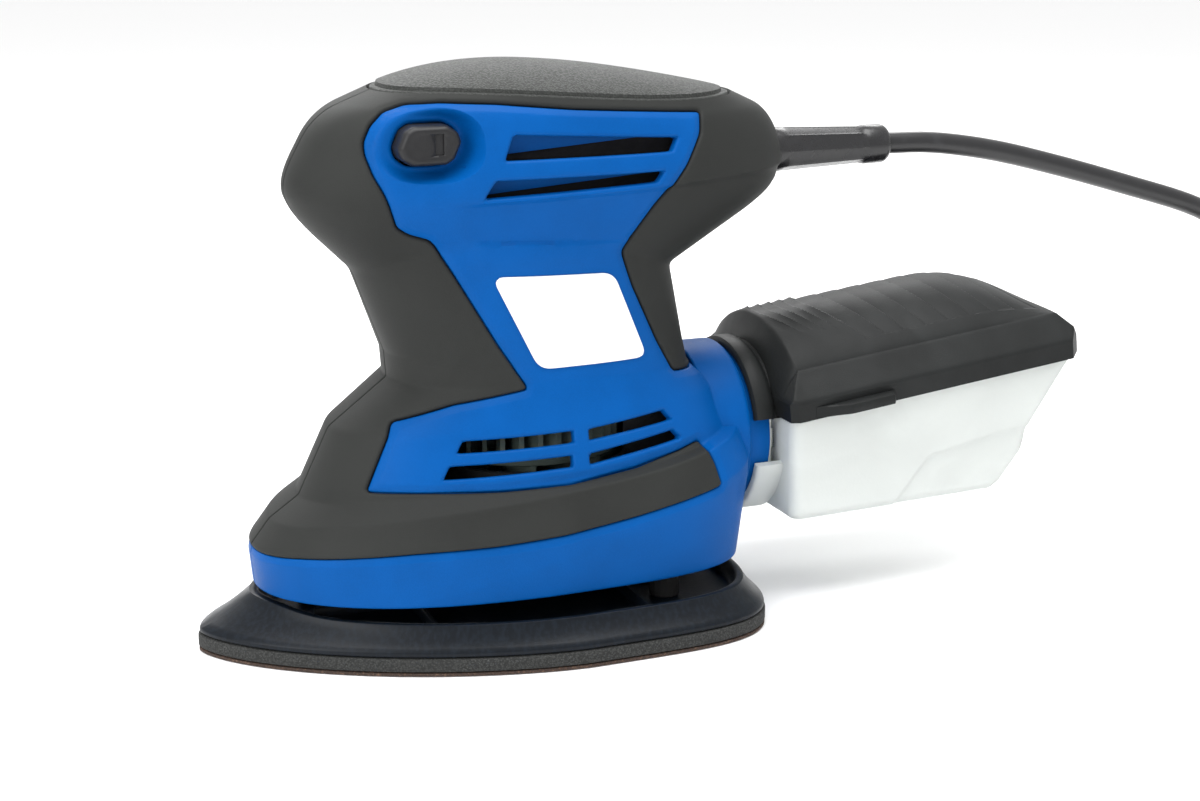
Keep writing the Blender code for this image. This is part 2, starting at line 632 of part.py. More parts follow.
def build_wiring():
    """The bar that clamps the cord, the leads to the switch and the suppressor capacitor."""
    clamp = block("cord_clamp", (65, -10, 126), (71, 10, 128.4), STEEL)
    bevelled(clamp, 0.5, 1)
    for side, name, finish in ((-1, "lead_brown", RED), (1, "lead_blue", BLUE)):
        route = [
            (55.8, side * 1.6, 122.6), (50, side * 7, 121.6), (42, side * 15, 121), (30, side * 19.5, 121),
            (16, side * 20, 121), (2, side * 18, 121), (-2, side * 12, 119.5), (-6.5, side * 6, 118.4),
        ]
        tube(name, smooth_route(route, 4), 0.9, finish)
    bevelled(block("suppressor_capacitor", (44, -7, 105.5), (56, 7, 117), WHITE), 1, 1)


def build_guard():
    """The cord guard, moulded on the cord's inner end: a flange held in the housing and a tapered sleeve."""
    turned(
        "cord_guard",
        [
            (0, GUARD_END_X), (4.3, GUARD_END_X), (4.9, GUARD_END_X - 1.2), (6.4, 86), (6.4, 75.6), (8.6, 75.6),
            (8.6, 73.2), (CORD_DIAMETER / 2, 73.2), (CORD_DIAMETER / 2, 57), (0, 57),
        ],
        (0, CORD_EXIT_Z), "X", GUARD, 16, closed=False,
    )


# ---------------------------------------------------------------- motor


def build_rotor():
    """Shaft, armature, windings and commutator."""
    turned("rotor_shaft", [(0, 133), (3.6, 133), (4, 132.4), (4, 22.4), (0, 22.4)], finish=STEEL, closed=False)
    core = turned("armature_core", [(14.2, 101), (14.2, 79), (4.3, 79), (4.3, 101)], finish=STEEL, steps=24)
    slots = 8
    for i in range(slots):
        slot = block(f"cut_core_slot_{i}", (9.3, -1.1, 70), (16, 1.1, 110))
        slot.matrix_world = Matrix.Translation((MOTOR_X * MM, 0, 0)) @ Matrix.Rotation(2 * math.pi * i / slots, 4, "Z")
        boolean(core, "DIFFERENCE", slot)
    winding = turned(
        "armature_winding", [(8, 107), (12, 105.5), (12.6, 101.4), (4.3, 101.4), (4.3, 107)], finish=COPPER,
        steps=16,
    )
    lower = turned("add_winding_lower", [(4.3, 78.6), (12.6, 78.6), (12, 74.6), (8, 73.4), (4.3, 73.4)], steps=16)
    boolean(winding, "UNION", lower)
    for i in range(slots):
        bar = block(f"add_winding_bar_{i}", (9.6, -0.8, 76), (12.4, 0.8, 104))
        bar.matrix_world = Matrix.Translation((MOTOR_X * MM, 0, 0)) @ Matrix.Rotation(2 * math.pi * i / slots, 4, "Z")
        boolean(winding, "UNION", bar)
    turned(
        "commutator", [(9, 119), (9, 110.4), (10, 110.2), (10, 108), (4.3, 108), (4.3, 119)], finish=COPPER, steps=20,
    )


def build_stator():
    """The lamination stack, with windows for the two field coils."""
    stack = turned("stator_stack", [(24, 103), (24, 77), (15, 77), (15, 103)], finish=STEEL, steps=32)
    flats = block("cut_stator_flats", (-20, -21, 60), (60, 21, 120))
    boolean(stack, "INTERSECT", flats)
    for side in (-1, 1):
        low, high = sorted((side * 11, side * 18.9))
        window = block(f"cut_window_{side}", (MOTOR_X - 7.6, low, 60), (MOTOR_X + 7.6, high, 120))
        boolean(stack, "DIFFERENCE", window)
    for name, side in (("field_coil_front", -1), ("field_coil_rear", 1)):
        arc = [deg(a) for a in range(90, -91, -20)]
        top = [(MOTOR_X + side * (4.2 + 14.5 * math.cos(a)), 16.4 * math.sin(a), 106.2) for a in arc]
        bottom = [(x, y, 73.8) for x, y, _ in reversed(top)]
        tube(name, [*top, *bottom], 2.1, COPPER, cyclic=True)


def build_bearings():
    """The rotor's two ball bearings, the plate that holds the lower one, and the pad's bearing."""
    def bearing(name, low, x=MOTOR_X, outer=11.0, high=7.0):
        groove = 0.6
        turned(
            name,
            [
                (outer, low + high), (outer, low), (9.3, low), (9.3, low + groove), (5.7, low + groove), (5.7, low),
                (4.15, low), (4.15, low + high),
            ],
            (x, 0), finish=STEEL, steps=20,
        )

    bearing("upper_bearing", 123.6)
    bearing("lower_bearing", 65.2)
    bearing("pad_bearing", 10.4, MOTOR_X + ORBIT_RADIUS)
    turned(
        "bearing_plate",
        [(13.4, 72.6), (13.4, 66), (23.3, 66), (23.3, 64), (9, 64), (9, 64.9), (11.3, 64.9), (11.3, 72.6)],
        finish=BLACK, steps=24,
    )


def build_brushes():
    """Two carbon brushes in brass holders, each pressed on the commutator by a spring."""
    z = 114.6
    for name, side in (("left", -1), ("right", 1)):
        def across(a, b):
            return sorted((side * a, side * b))

        low, high = across(9.4, 17)
        block(f"brush_{name}", (MOTOR_X - 2.5, low, z - 3), (MOTOR_X + 2.5, high, z + 3), CARBON)
        low, high = across(11, 23)
        holder = block(f"brush_holder_{name}", (MOTOR_X - 3.9, low, z - 4.4), (MOTOR_X + 3.9, high, z + 4.4), BRASS)
        low, high = across(0, 22.2)
        bore = block(f"cut_holder_{name}", (MOTOR_X - 2.8, low, z - 3.3), (MOTOR_X + 2.8, high, z + 3.3))
        boolean(holder, "DIFFERENCE", bore)
        turns, length, start = 2.5, 4.2, 17.5
        steps = round(turns * 8)
        route = [
            (
                MOTOR_X + 1.9 * math.cos(2 * math.pi * turns * i / steps),
                side * (start + length * i / steps),
                z + 1.9 * math.sin(2 * math.pi * turns * i / steps),
            )
            for i in range(steps + 1)
        ]
        tube(f"brush_spring_{name}", route, 0.3, STEEL, resolution=1)


def build_fan():
    """The double fan: cooling blades above the disc, dust blades below it."""
    fan = turned(
        "fan", [(8, 60), (8, 49.2), (25.5, 49.2), (25.5, 47.4), (8, 47.4), (8, 39), (4.3, 39), (4.3, 60)],
        finish=BLACK, steps=24,
    )
    for low, high, inner, count, lean in ((48.2, 60.6, 13, 14, 15), (37.5, 48.2, 11, 6, 30)):
        for i in range(count):
            blade = block(f"add_blade_{count}_{i}", (inner, -0.7, low), (27, 0.7, high))
            turn = Matrix.Rotation(2 * math.pi * i / count, 4, "Z")
            hinge = Matrix.Translation((inner * MM, 0, 0))
            blade.matrix_world = (
                Matrix.Translation((MOTOR_X * MM, 0, 0)) @ turn @ hinge @ Matrix.Rotation(deg(lean), 4, "Z")
                @ hinge.inverted()
            )
            trim = bpy.data.objects.get("cut_fan_edge") or turned(
                "cut_fan_edge", [(0, 70), (25.2, 70), (25.2, 30), (0, 30)], steps=24, closed=False
            )
            boolean(blade, "INTERSECT", trim)
            boolean(fan, "UNION", blade)


def build_eccentric():
    """The eccentric: a hub on the shaft, an offset journal for the pad's bearing, and a counterweight."""
    hub = turned("eccentric", [(8, 37), (8, 24), (10, 24), (10, 19.2), (0, 19.2), (0, 21), (4.15, 21), (4.15, 37)],
                 finish=STEEL, closed=False)
    hub.data.edges.add(1)
    hub.data.edges[-1].vertices = (7, 0)
    journal = cylinder("add_journal", 4.0, 9.6, 20.5, (MOTOR_X + ORBIT_RADIUS, 0))
    boolean(hub, "UNION", journal)
    weight = cylinder("add_counterweight", 20.5, 25, 33, (MOTOR_X, 0), sides=32)
    boolean(weight, "INTERSECT", block("cut_weight_half", (MOTOR_X - 30, -30, 20), (MOTOR_X + 1, 30, 40)))
    boolean(weight, "DIFFERENCE", cylinder("cut_weight_bore", 6, 20, 40, (MOTOR_X, 0)))
    boolean(hub, "UNION", weight)


def build_dust_chamber():
    """The volute under the fan and the duct that leads to the outlet."""
    cup = cylinder("dust_chamber", 29, 34.2, 46.6, (MOTOR_X, 0), finish=BLACK, sides=28)
    boolean(cup, "UNION", block("add_duct", (MOTOR_X + 22, -16.5, 34.2), (60, 16.5, 57)))
    boolean(cup, "DIFFERENCE", cylinder("cut_chamber", 27.3, 36, 60, (MOTOR_X, 0), sides=28))
    boolean(cup, "DIFFERENCE", block("cut_duct", (MOTOR_X + 18, -14.8, 36), (65, 14.8, 55.3)))
    boolean(cup, "DIFFERENCE", cylinder("cut_chamber_inlet", 17, 30, 40, (MOTOR_X, 0), sides=20))


# ---------------------------------------------------------------- pad


def outline_points(outline):
    """A half outline as a closed list of points."""
    x, w = outline
    near = [(float(a), -float(b)) for a, b in zip(x, w)]
    far = [(float(a), float(b)) for a, b in zip(x[-2:0:-1], w[-2:0:-1])]
    return near + far


def build_platen():
    """The black plastic platen: a flared dish with ribs, a hub for the bearing and holes for the posts' screws."""
    front_lift = 2.2
    x, w = rim_outline()
    rim = x, w, PLATEN_RIM + front_lift * np.exp(-(((x - x[0]) / 9) ** 2))
    platen = loft("platen", [level(pad_outline(0.2), PLATEN_BOTTOM), level(pad_outline(0.5), 6.2), rim], BLACK)
    pocket_low = level(rim_outline(3.4), PLATEN_FLOOR)
    pocket_high = level(rim_outline(2.2), 20)
    boolean(platen, "DIFFERENCE", loft("cut_platen_pocket", [pocket_low, pocket_high]))
    centre = (MOTOR_X + ORBIT_RADIUS, 0)
    for i, (x0, x1, y) in enumerate([(-46, 6, -9), (-46, 6, 9), (31, 66, 0)]):
        boolean(platen, "UNION", block(f"add_rib_{i}", (x0, y - 0.7, 7), (x1, y + 0.7, 11)))
    for i, x0 in enumerate((-20, 36)):
        boolean(platen, "UNION", block(f"add_cross_rib_{i}", (x0, -36 + i * -5, 7), (x0 + 1.4, 36 + i * 5, 10.5)))
    boolean(platen, "UNION", cylinder("add_platen_hub", 15, 7, 18.4, centre))
    boolean(platen, "DIFFERENCE", cylinder("cut_bearing_pocket", 11.3, 10.1, 25, centre))
    boolean(platen, "DIFFERENCE", cylinder("cut_platen_centre", 8, 0, 15, centre))
    for i, (px, py) in enumerate(DUST_HOLES):
        boolean(platen, "DIFFERENCE", cylinder(f"cut_dust_{i}", DUST_HOLE_RADIUS, -5, 15, (px, py), sides=12))
    for i, (px, py) in enumerate(POSTS):
        boolean(platen, "DIFFERENCE", cylinder(f"cut_post_screw_{i}", 1.9, 0, 15, (px, py), sides=8))


def build_pad_layers():
    """The foam with its hook face, and the abrasive sheet, cut to the same outline and holes."""
    layers = (
        ("foam_pad", FOAM_BOTTOM, FOAM_TOP, FOAM, True),
        ("sanding_sheet", 0, SHEET_TOP, PAPER, False),
    )
    for name, low, high, finish, centre_hole in layers:
        layer = prism(name, outline_points(pad_outline()), low, high, "XY", finish)
        for i in range(len(DUST_HOLES)):
            boolean(layer, "DIFFERENCE", bpy.data.objects[f"cut_dust_{i}"])
        if centre_hole:
            boolean(layer, "DIFFERENCE", bpy.data.objects["cut_platen_centre"])
            for i in range(len(POSTS)):
                boolean(layer, "DIFFERENCE", bpy.data.objects[f"cut_post_screw_{i}"])


def build_posts():
    """Three elastic posts that let the pad orbit without turning, each with its screw."""
    for i, (x, y) in enumerate(POSTS):
        post = turned(
            f"elastic_post_{i + 1}",
            [
                (0, POST_TOP), (3.4, POST_TOP), (POST_RADIUS, POST_TOP - 1), (POST_RADIUS, 26), (2.8, 24),
                (2.8, 15), (POST_RADIUS, 13), (POST_RADIUS, PLATEN_FLOOR + GAP), (0, PLATEN_FLOOR + GAP),
            ],
            (x, y), finish=SOFT, steps=14, closed=False,
        )
        boolean(post, "DIFFERENCE", cylinder(f"cut_post_bore_{i}", 1.5, 5, 20, (x, y), sides=10))
        turned(
            f"post_screw_{i + 1}",
            [(0, 18), (1.2, 18), (1.2, PLATEN_FLOOR), (1.2, 2.9), (0, 2.9)], (x, y), finish=STEEL, steps=10,
            closed=False,
        )


def build_pad_screw():
    """The screw and washer that hold the pad's bearing on the eccentric's journal."""
    x = MOTOR_X + ORBIT_RADIUS
    turned(
        "pad_screw", [(0, 9.3), (6.6, 9.3), (6.6, 8.1), (4.2, 8.1), (4.2, 5.2), (0, 5.2)], (x, 0), finish=STEEL,
        steps=20, closed=False,
    )


# ---------------------------------------------------------------- dust outlet and box


def build_outlet():
    """The blue dust outlet, a coned tube clamped between the half shells."""
    turned(
        "dust_outlet",
        [
            (22, OUTLET_END_X), (22.2, 73.5), (25, 66), (25, 60.6), (18.5, 60.6), (18.5, 66), (18, OUTLET_END_X),
        ],
        (0, OUTLET_Z), "X", BLUE, 32,
    )


def build_dust_box():
    """The milky dust box: an open-topped scoop with a half collar that sits round the outlet."""
    w = BOX_HALF_WIDTH
    box = prism("dust_box", BOX_OUTLINE, -w, w, finish=MILKY)
    inner = [(84.9, 25.8), (83.9, 70), (180, 80), (168.7, 62), (157.3, 45), (155.3, 37.2), (148.2, 27.8)]
    boolean(box, "DIFFERENCE", prism("cut_box", inner, -w + BOX_WALL, w - BOX_WALL))
    collar = cylinder("add_collar", 24.6, COLLAR_FRONT_X + 0.6, 83.5, (0, OUTLET_Z), "X", sides=32)
    lower = block("cut_collar_lower", (70, -40, 10), (90, 40, 52.4))
    boolean(collar, "INTERSECT", lower)
    boolean(box, "UNION", collar)
    boolean(box, "DIFFERENCE", cylinder("cut_collar", COLLAR_INNER, 60, 80.2, (0, OUTLET_Z), "X", sides=32))
    boolean(box, "DIFFERENCE", cylinder("cut_box_inlet", 17.5, 60, 87, (0, OUTLET_Z), "X", sides=28))


LID_PLACE = Matrix.Translation(Vector((LID_FRONT_X, 0, LID_FRONT_Z)) * MM) @ Matrix.Rotation(-LID_TILT, 4, "Y")


def lid_station(x, height, crown, half, shoulder):
    """One cross-section of the lid at x along its length: (y, z) points from the near rim to the far rim."""
    rim = min(5.4, height)
    arc = [deg(a) for a in (-60, -40, -20, 0, 20, 40, 60)]
    top = [(shoulder * math.sin(a) / math.sin(deg(60)), height + crown * (math.cos(a) - 0.5) / 0.5) for a in arc]
    return [(x, y, z) for y, z in [(-half, 0), (-half, rim), *top, (half, rim), (half, 0)]]


def build_lid():
    """The black lid: a crowned cover on the tilted rim of the box, with a hood over the outlet and a finger tab."""
    w = LID_HALF_WIDTH
    stations = [
        lid_station(0, 5.6, 0.1, w, 31.5), lid_station(6, 12.2, 8.5, w, 26), lid_station(24, 12.4, 11.5, w, 26),
        lid_station(60, 12.8, 11.0, w, 26), lid_station(80, 13, 8.5, w, 26), lid_station(89, 12, 3.5, w, 25.5),
        lid_station(LID_LENGTH, 6.6, 0.2, w, 31),
    ]
    def hull(name, inset, finish=None):
        bm = bmesh.new()
        rows = []
        for k, station in enumerate(stations):
            shift = inset if k == 0 else (-inset if k == len(stations) - 1 else 0)
            row = []
            for x, y, z in station:
                low = z == 0
                place = (x + shift, y * (1 - inset / w), z * (1 - inset / 14) - (3 if low and inset else 0))
                row.append(bm.verts.new(LID_PLACE @ (Vector(place) * MM)))
            rows.append(row)
        for a, b in zip(rows, rows[1:]):
            for i in range(len(a)):
                j = (i + 1) % len(a)
                bm.faces.new((a[i], a[j], b[j], b[i]))
        bm.faces.new(rows[0][::-1])
        bm.faces.new(rows[-1])
        bmesh.ops.recalc_face_normals(bm, faces=bm.faces)
        mesh = bpy.data.meshes.new(name)
        bm.to_mesh(mesh)
        bm.free()
        return mesh_object(name, mesh, finish)

    lid = hull("dust_box_lid", 0, MILKY)
    lid.data.materials[0] = BLACK
    hood = cylinder("add_hood", COLLAR_OUTER, COLLAR_FRONT_X, 86, (0, OUTLET_Z), "X", sides=32)
    boolean(hood, "INTERSECT", block("cut_hood_upper", (60, -40, 52.8), (95, 40, 90)))
    boolean(lid, "UNION", hood)
    tab = block("add_tab", (88, -36.4, 55), (112, -31, 57.6))
    boolean(lid, "UNION", tab)
    boolean(lid, "DIFFERENCE", hull("cut_lid", 2.0))
    boolean(lid, "DIFFERENCE", cylinder("cut_hood", COLLAR_INNER, 60, 88, (0, OUTLET_Z), "X", sides=32))


def build_filter():
    """The pleated filter under the lid."""
    pleats = [(14 + 2 * i, 8 + 3.4 * (i % 2)) for i in range(32)]
    fleece = prism("pleated_filter", [*pleats, *[(x, z + 1.2) for x, z in reversed(pleats)]], -19, 19, finish=FLEECE)
    fleece.matrix_world = LID_PLACE


# ---------------------------------------------------------------- cord


def build_cord():
    """The free cord as far as the coil, the coil's outer form, and a two-pin plug that its last turn runs into."""
    reach = cylinder("cut_coil_reach", COIL_OUTER + GAP, -5, COIL_HEIGHT + GAP, COIL_CENTRE, sides=48)
    free = solid_tube("cord", smooth_route(CORD_ROUTE, 12), CORD_DIAMETER / 2, GUARD)
    boolean(free, "DIFFERENCE", reach)
    turned(
        "cord_coil",
        [(COIL_OUTER, COIL_HEIGHT), (COIL_OUTER, 0.1), (COIL_INNER, 0.1), (COIL_INNER, COIL_HEIGHT)],
        COIL_CENTRE, finish=GUARD, steps=48,
    )
    build_plug(reach)


def build_plug(reach):
    """A two-pin plug lying flat, with a tapered neck that starts against the coil."""
    y = COIL_CENTRE[1] + COIL_TURN_RADIUS
    half, middle = PLUG_HALF_WIDTH, PLUG_HEIGHT / 2
    outline = [
        (PLUG_BODY_X - 4, 4.6), (PLUG_BODY_X + 2, 6.5), (PLUG_BODY_X + 11, half), (PLUG_HEAD_X - 3, half),
        (PLUG_HEAD_X, half - 3),
    ]
    outline = [(x, y - w) for x, w in outline] + [(x, y + w) for x, w in reversed(outline)]
    body = prism("plug_body", outline, 0.1, PLUG_HEIGHT, "XY", GUARD)
    bevelled(body, 2.4, 3)
    neck = solid_tube(
        "add_plug_neck", [(COIL_CENTRE[0] + 10, y, 3.4), (PLUG_BODY_X - 24, y, 3.6), (PLUG_BODY_X, y, middle)],
        CORD_DIAMETER / 2, factors=(1.1, 1.1, 1.75),
    )
    boolean(neck, "DIFFERENCE", reach)
    boolean(body, "UNION", neck)
    for i, side in enumerate((-1, 1)):
        cylinder(
            f"plug_pin_{i + 1}", PIN_RADIUS, PLUG_HEAD_X + GAP, PLUG_HEAD_X + PIN_LENGTH,
            (y + side * PIN_SPACING / 2, middle), "X", STEEL, 12,
        )


build_housing()
build_soft_grips()
build_top_cap()
build_labels()
build_screws()
build_base_cover()
build_switch()
build_wiring()
build_guard()
build_rotor()
build_stator()
build_bearings()
build_brushes()
build_fan()
build_eccentric()
build_dust_chamber()
build_platen()
build_pad_layers()
build_posts()
build_pad_screw()
build_outlet()
build_dust_box()
build_lid()
build_filter()
build_cord()
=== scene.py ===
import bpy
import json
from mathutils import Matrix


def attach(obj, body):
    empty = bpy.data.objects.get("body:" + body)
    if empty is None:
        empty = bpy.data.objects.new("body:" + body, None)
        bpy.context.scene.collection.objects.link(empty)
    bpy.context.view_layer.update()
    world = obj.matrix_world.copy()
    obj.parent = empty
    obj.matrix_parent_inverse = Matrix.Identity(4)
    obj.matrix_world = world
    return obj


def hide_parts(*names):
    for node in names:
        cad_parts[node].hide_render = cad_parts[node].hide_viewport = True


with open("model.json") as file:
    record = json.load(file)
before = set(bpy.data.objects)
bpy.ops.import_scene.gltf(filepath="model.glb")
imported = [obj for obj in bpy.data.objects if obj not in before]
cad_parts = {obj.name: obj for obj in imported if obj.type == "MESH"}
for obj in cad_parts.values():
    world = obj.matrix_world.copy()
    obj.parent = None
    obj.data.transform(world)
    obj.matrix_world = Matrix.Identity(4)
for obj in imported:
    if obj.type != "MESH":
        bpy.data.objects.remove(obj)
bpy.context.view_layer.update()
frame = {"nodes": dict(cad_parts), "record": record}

import json
import math

import bpy
import numpy as np
from bpy.props import FloatProperty, FloatVectorProperty, PointerProperty
from mathutils import Matrix, Vector

bl_info = {
    "name": "Delta Palm Sander",
    "version": (1, 0, 0),
    "blender": (4, 5, 0),
    "location": "View3D > Sidebar > Sander",
    "description": "Builds the looks of a corded delta palm sander round its engineering frame",
    "category": "Object",
}

MM = 0.001

# Body rings: front x, rear x, half width, x where widest, front power, rear power, heights from front to
# rear, and how far from the ring its crease is rounded. All in millimetres.
BODY_RINGS = (
    (-59.5, 73.5, 39.0, 17, 2.1, 3.6, (16, 16, 16, 16), 0.4),
    (-60.5, 74.5, 40.0, 17, 2.1, 3.6, (27, 31.7, 35.6, 45), 0.5),
    (-55.0, 72.0, 37.5, 17, 2.1, 3.4, (34, 40.5, 45, 53), 0.6),
    (-47.0, 70.0, 34.0, 17, 2.1, 3.2, (39.5, 44.6, 46.6, 54), 0.7),
    (-38.5, 66.0, 30.5, 17, 2.2, 3.0, (57, 59, 61, 63), 1.2),
    (-22.5, 60.0, 27.0, 18, 2.4, 2.8, (69, 70, 70, 69), 0.6),
    (-23.0, 58.5, 26.5, 18, 2.4, 2.8, (76, 74, 74, 76), 0.5),
    (-31.0, 55.0, 26.5, 16, 2.3, 2.6, (98, 107, 104.5, 95), 1.6),
    (-45.0, 84.0, 29.5, 20, 2.2, 2.4, (112, 114, 115, 112), 9.0),
    (-49.0, 88.5, 31.0, 20, 2.2, 2.4, (121, 119.5, 120, 119), 8.0),
    (-39.5, 85.0, 29.5, 20, 2.2, 2.4, (138, 138, 135.5, 135), 7.0),
    (-24.5, 73.0, 26.3, 20, 2.3, 2.6, (143.8, 143.3, 140.8, 140.5), 0.4),
)
TOP_LEVEL = len(BODY_RINGS) - 1
MOST_BEND = 0.42  # share of the way to the next ring that a rounding may take

# Side outlines (x, z) in millimetres
SOFT_GRIP_OUTLINE = (
    (-75, 27), (-60, 27), (-52, 28.5), (-40, 29.6), (-26, 30.8), (-5, 31.5), (13, 32.7), (32, 35.3),
    (45, 37.5), (58.5, 39.8), (57, 46), (54.5, 51.2), (48, 49.6), (35, 47.2), (16, 45.2), (-2, 44.7),
    (-24.5, 44.6), (-34.5, 44.4), (-26.5, 61.5), (-11.5, 66), (7.5, 69), (0, 80.5), (-11, 99.5), (-15, 106),
    (-17, 108),
    (-22, 109.5), (-25, 111.5), (-28, 120), (-30.5, 125), (-32, 130), (-32, 133), (-30, 137), (-26.5, 140.4),
    (-21, 142.2), (-13, 142.6), (0, 142), (20, 140), (56, 137.6), (55, 132), (50, 124), (42, 114.5),
    (34, 102.5), (37.5, 93), (45, 78), (50.5, 69), (75, 66), (100, 100), (100, 152), (-75, 152),
)
LABEL_OUTLINE = ((-1.5, 98.4), (31.2, 97.4), (41.2, 74), (10.6, 73.7))
UPPER_VENTS = (
    ((3.5, 134.3), (48, 131.5), (46, 128), (1, 128)),
    ((-1.5, 123.3), (43.5, 123.3), (41.5, 120.5), (-4.5, 118.8)),
)
LOWER_VENTS = (
    ((-10.7, 57.2), (18.2, 57.8), (18.2, 54.8), (-12.4, 54.2)),
    ((-14.4, 51.1), (17.4, 51.7), (17.4, 48.8), (-16.3, 47.8)),
    ((22.4, 57.8), (44.4, 60.3), (46.7, 57.6), (22.4, 55)),
    ((22, 51.6), (46.7, 55), (49, 52.6), (22, 48.9)),
)
VENT_BAFFLES = (
    ((-3, 137), (48, 137), (42, 131.9), (-3, 128.7)),
    ((-8, 126.5), (46, 126.5), (42, 122.5), (-8, 118.9)),
)
# Black sheets set behind the vents as painted shade: they darken the inside seen through each slot
VENT_SHADE_SHEETS = (
    ((-2.6, 138), (52, 138), (50, 122.6), (-2.6, 122.6)),
    ((-11, 122.5), (50, 122.5), (49, 116), (-11, 116)),
)
BAFFLE_Y, SHADE_SHEET_Y, PLATE_THICKNESS = 25.0, 23.8, 1.4
UNDER_LAP, BEVEL_WIDTH, BEVEL_DEPTH = 2.6, 1.9, 0.55
SCREW_HOLES = ((-36, 118), (68, 134), (-14.6, 92), (47.2, 90), (-38, 37.2))
SCREW_HOLE_RADIUS = 3.6

# Palm cap: how high its dome stands over its edge
CAP_CROWN = 7.3

# Switch
SWITCH_X, SWITCH_Z, WELL_HALF_X, WELL_HALF_Z = -17.0, 132.2, 13.4, 9.3
WELL_FLOOR, WELL_SLOPE = 20.9, 3.4
SWITCH_OUTLINE = (
    (-8.2, -0.6), (-7.4, -3.0), (-4.6, -4.9), (4.2, -4.9), (6.4, -3.6), (8.2, 0.6), (7.4, 3.0), (4.6, 4.9),
    (-4.2, 4.9), (-6.4, 3.6),
)

# Pad
MOTOR_X = 16.0
PAD_HALF_LENGTH, PAD_HALF_WIDTH, PAD_WIDEST_X = 75.0, 49.5, 17.0
DUST_HOLES = ((-50, 0), (-22, 0), (-10, -27), (-10, 27), (20, -33), (20, 33), (46, -13), (46, 13))

# Dust box and lid
OUTLET_Z = 46.0
LID_TILT = math.radians(6.6)
LID_FRONT_X, LID_FRONT_Z, LID_LENGTH, LID_HALF_WIDTH = 81.0, 53.2, 94.0, 32.5
LID_RIM, LID_CREST, LID_WALL = 5.4, 12.4, 2.0
BOX_WALL = 1.7

# Floor, in metres
FLOOR_HALF, FLOOR_Z = 6, -0.0002

# Cord: the route of its free part, then the coil
CORD_ROUTE = (
    (124.3, 0, 122.6), (140, 0, 122), (160, 0, 118.8), (182, -0.5, 113.3), (206, -1.5, 106.4),
    (228, -3, 99.6), (239.2, -2.6, 94.1), (248.7, -1.6, 84.9), (254.3, 0, 73.7), (259, 2, 59.3),
    (263.7, 4.2, 44.9),
    (268.5, 6, 35.4), (276, 7.6, 27.9), (285.5, 8.7, 23.1), (296, 9, 21.4),
)
COIL_X, COIL_Y = 296.0, -32.0
COIL_OUTER_TURN, COIL_INNER_TURN, COIL_TOP, COIL_LAYERS, LAYER_STEP = 41.0, 29.0, 21.4, 4, 6.1
GUARD_END_X, CORD_EXIT_Z = 124.0, 122.6


# ---------------------------------------------------------------- settings


class SanderSizes(bpy.types.PropertyGroup):
    """Sizes of the sander's skin and cord."""

    pitch: FloatProperty(
        name="Mesh pitch", description="Spacing of the body's mesh", default=1.15 * MM, min=0.5 * MM,
        unit="LENGTH",
    )
    wall: FloatProperty(
        name="Housing wall", description="Thickness of the blue shells", default=2.4 * MM, unit="LENGTH"
    )
    grip_thickness: FloatProperty(
        name="Grip thickness", description="Thickness of the soft grip", default=1.5 * MM, unit="LENGTH"
    )
    parting: FloatProperty(
        name="Parting gap", description="Gap between neighbouring mouldings", default=0.3 * MM, unit="LENGTH"
    )
    cord_diameter: FloatProperty(
        name="Cord diameter", description="Outer diameter of the cord", default=6 * MM, unit="LENGTH"
    )
    cord_length: FloatProperty(
        name="Cord length", description="Length from guard to plug", default=2.0, unit="LENGTH"
    )


def colour_property(name, description, default):
    return FloatVectorProperty(
        name=name, description=description, default=default, size=3, min=0, max=1, subtype="COLOR"
    )


class SanderColours(bpy.types.PropertyGroup):
    """Linear colours of the sander's mouldings."""

    housing: colour_property("Housing", "The blue shells", (0.0, 0.064, 0.255))
    soft_grip: colour_property("Soft grip", "The rubber overmould", (0.017, 0.018, 0.017))
    palm_cap: colour_property("Palm cap", "The pebbled cap", (0.029, 0.031, 0.029))
    platen: colour_property("Platen", "The pad's platen", (0.003, 0.005, 0.008))
    foam: colour_property("Foam", "The foam under the platen", (0.026, 0.027, 0.026))
    lid: colour_property("Lid", "The dust box's lid", (0.010, 0.011, 0.011))
    dust_box: colour_property("Dust box", "The milky dust box", (0.74, 0.77, 0.75))
    cord: colour_property("Cord", "Cord, guard and plug", (0.006, 0.006, 0.007))


class SanderStudio(bpy.types.PropertyGroup):
    """Camera and light."""

    azimuth: FloatProperty(
        name="Azimuth", description="Camera's turn", default=math.radians(-22), subtype="ANGLE"
    )
    elevation: FloatProperty(
        name="Elevation", description="Camera's angle above the level", default=math.radians(15),
        subtype="ANGLE",
    )
    distance: FloatProperty(
        name="Distance", description="Camera to its target", default=0.55, subtype="DISTANCE", unit="LENGTH"
    )
    lens: FloatProperty(name="Lens", description="Focal length in millimetres", default=60.09)
    target: FloatVectorProperty(
        name="Target", description="Point that the camera looks at", default=(0.038, 0.0, 0.0562), size=3,
        subtype="XYZ",
    )
    world_light: FloatProperty(name="World light", description="Strength of the white room", default=1.03)
    key_light: FloatProperty(name="Key light", description="Power of the softbox", default=11.0)


def sizes():
    return bpy.context.scene.sander_sizes


def colours():
    return bpy.context.scene.sander_colours


def studio():
    return bpy.context.scene.sander_studio


# ---------------------------------------------------------------- shader expressions


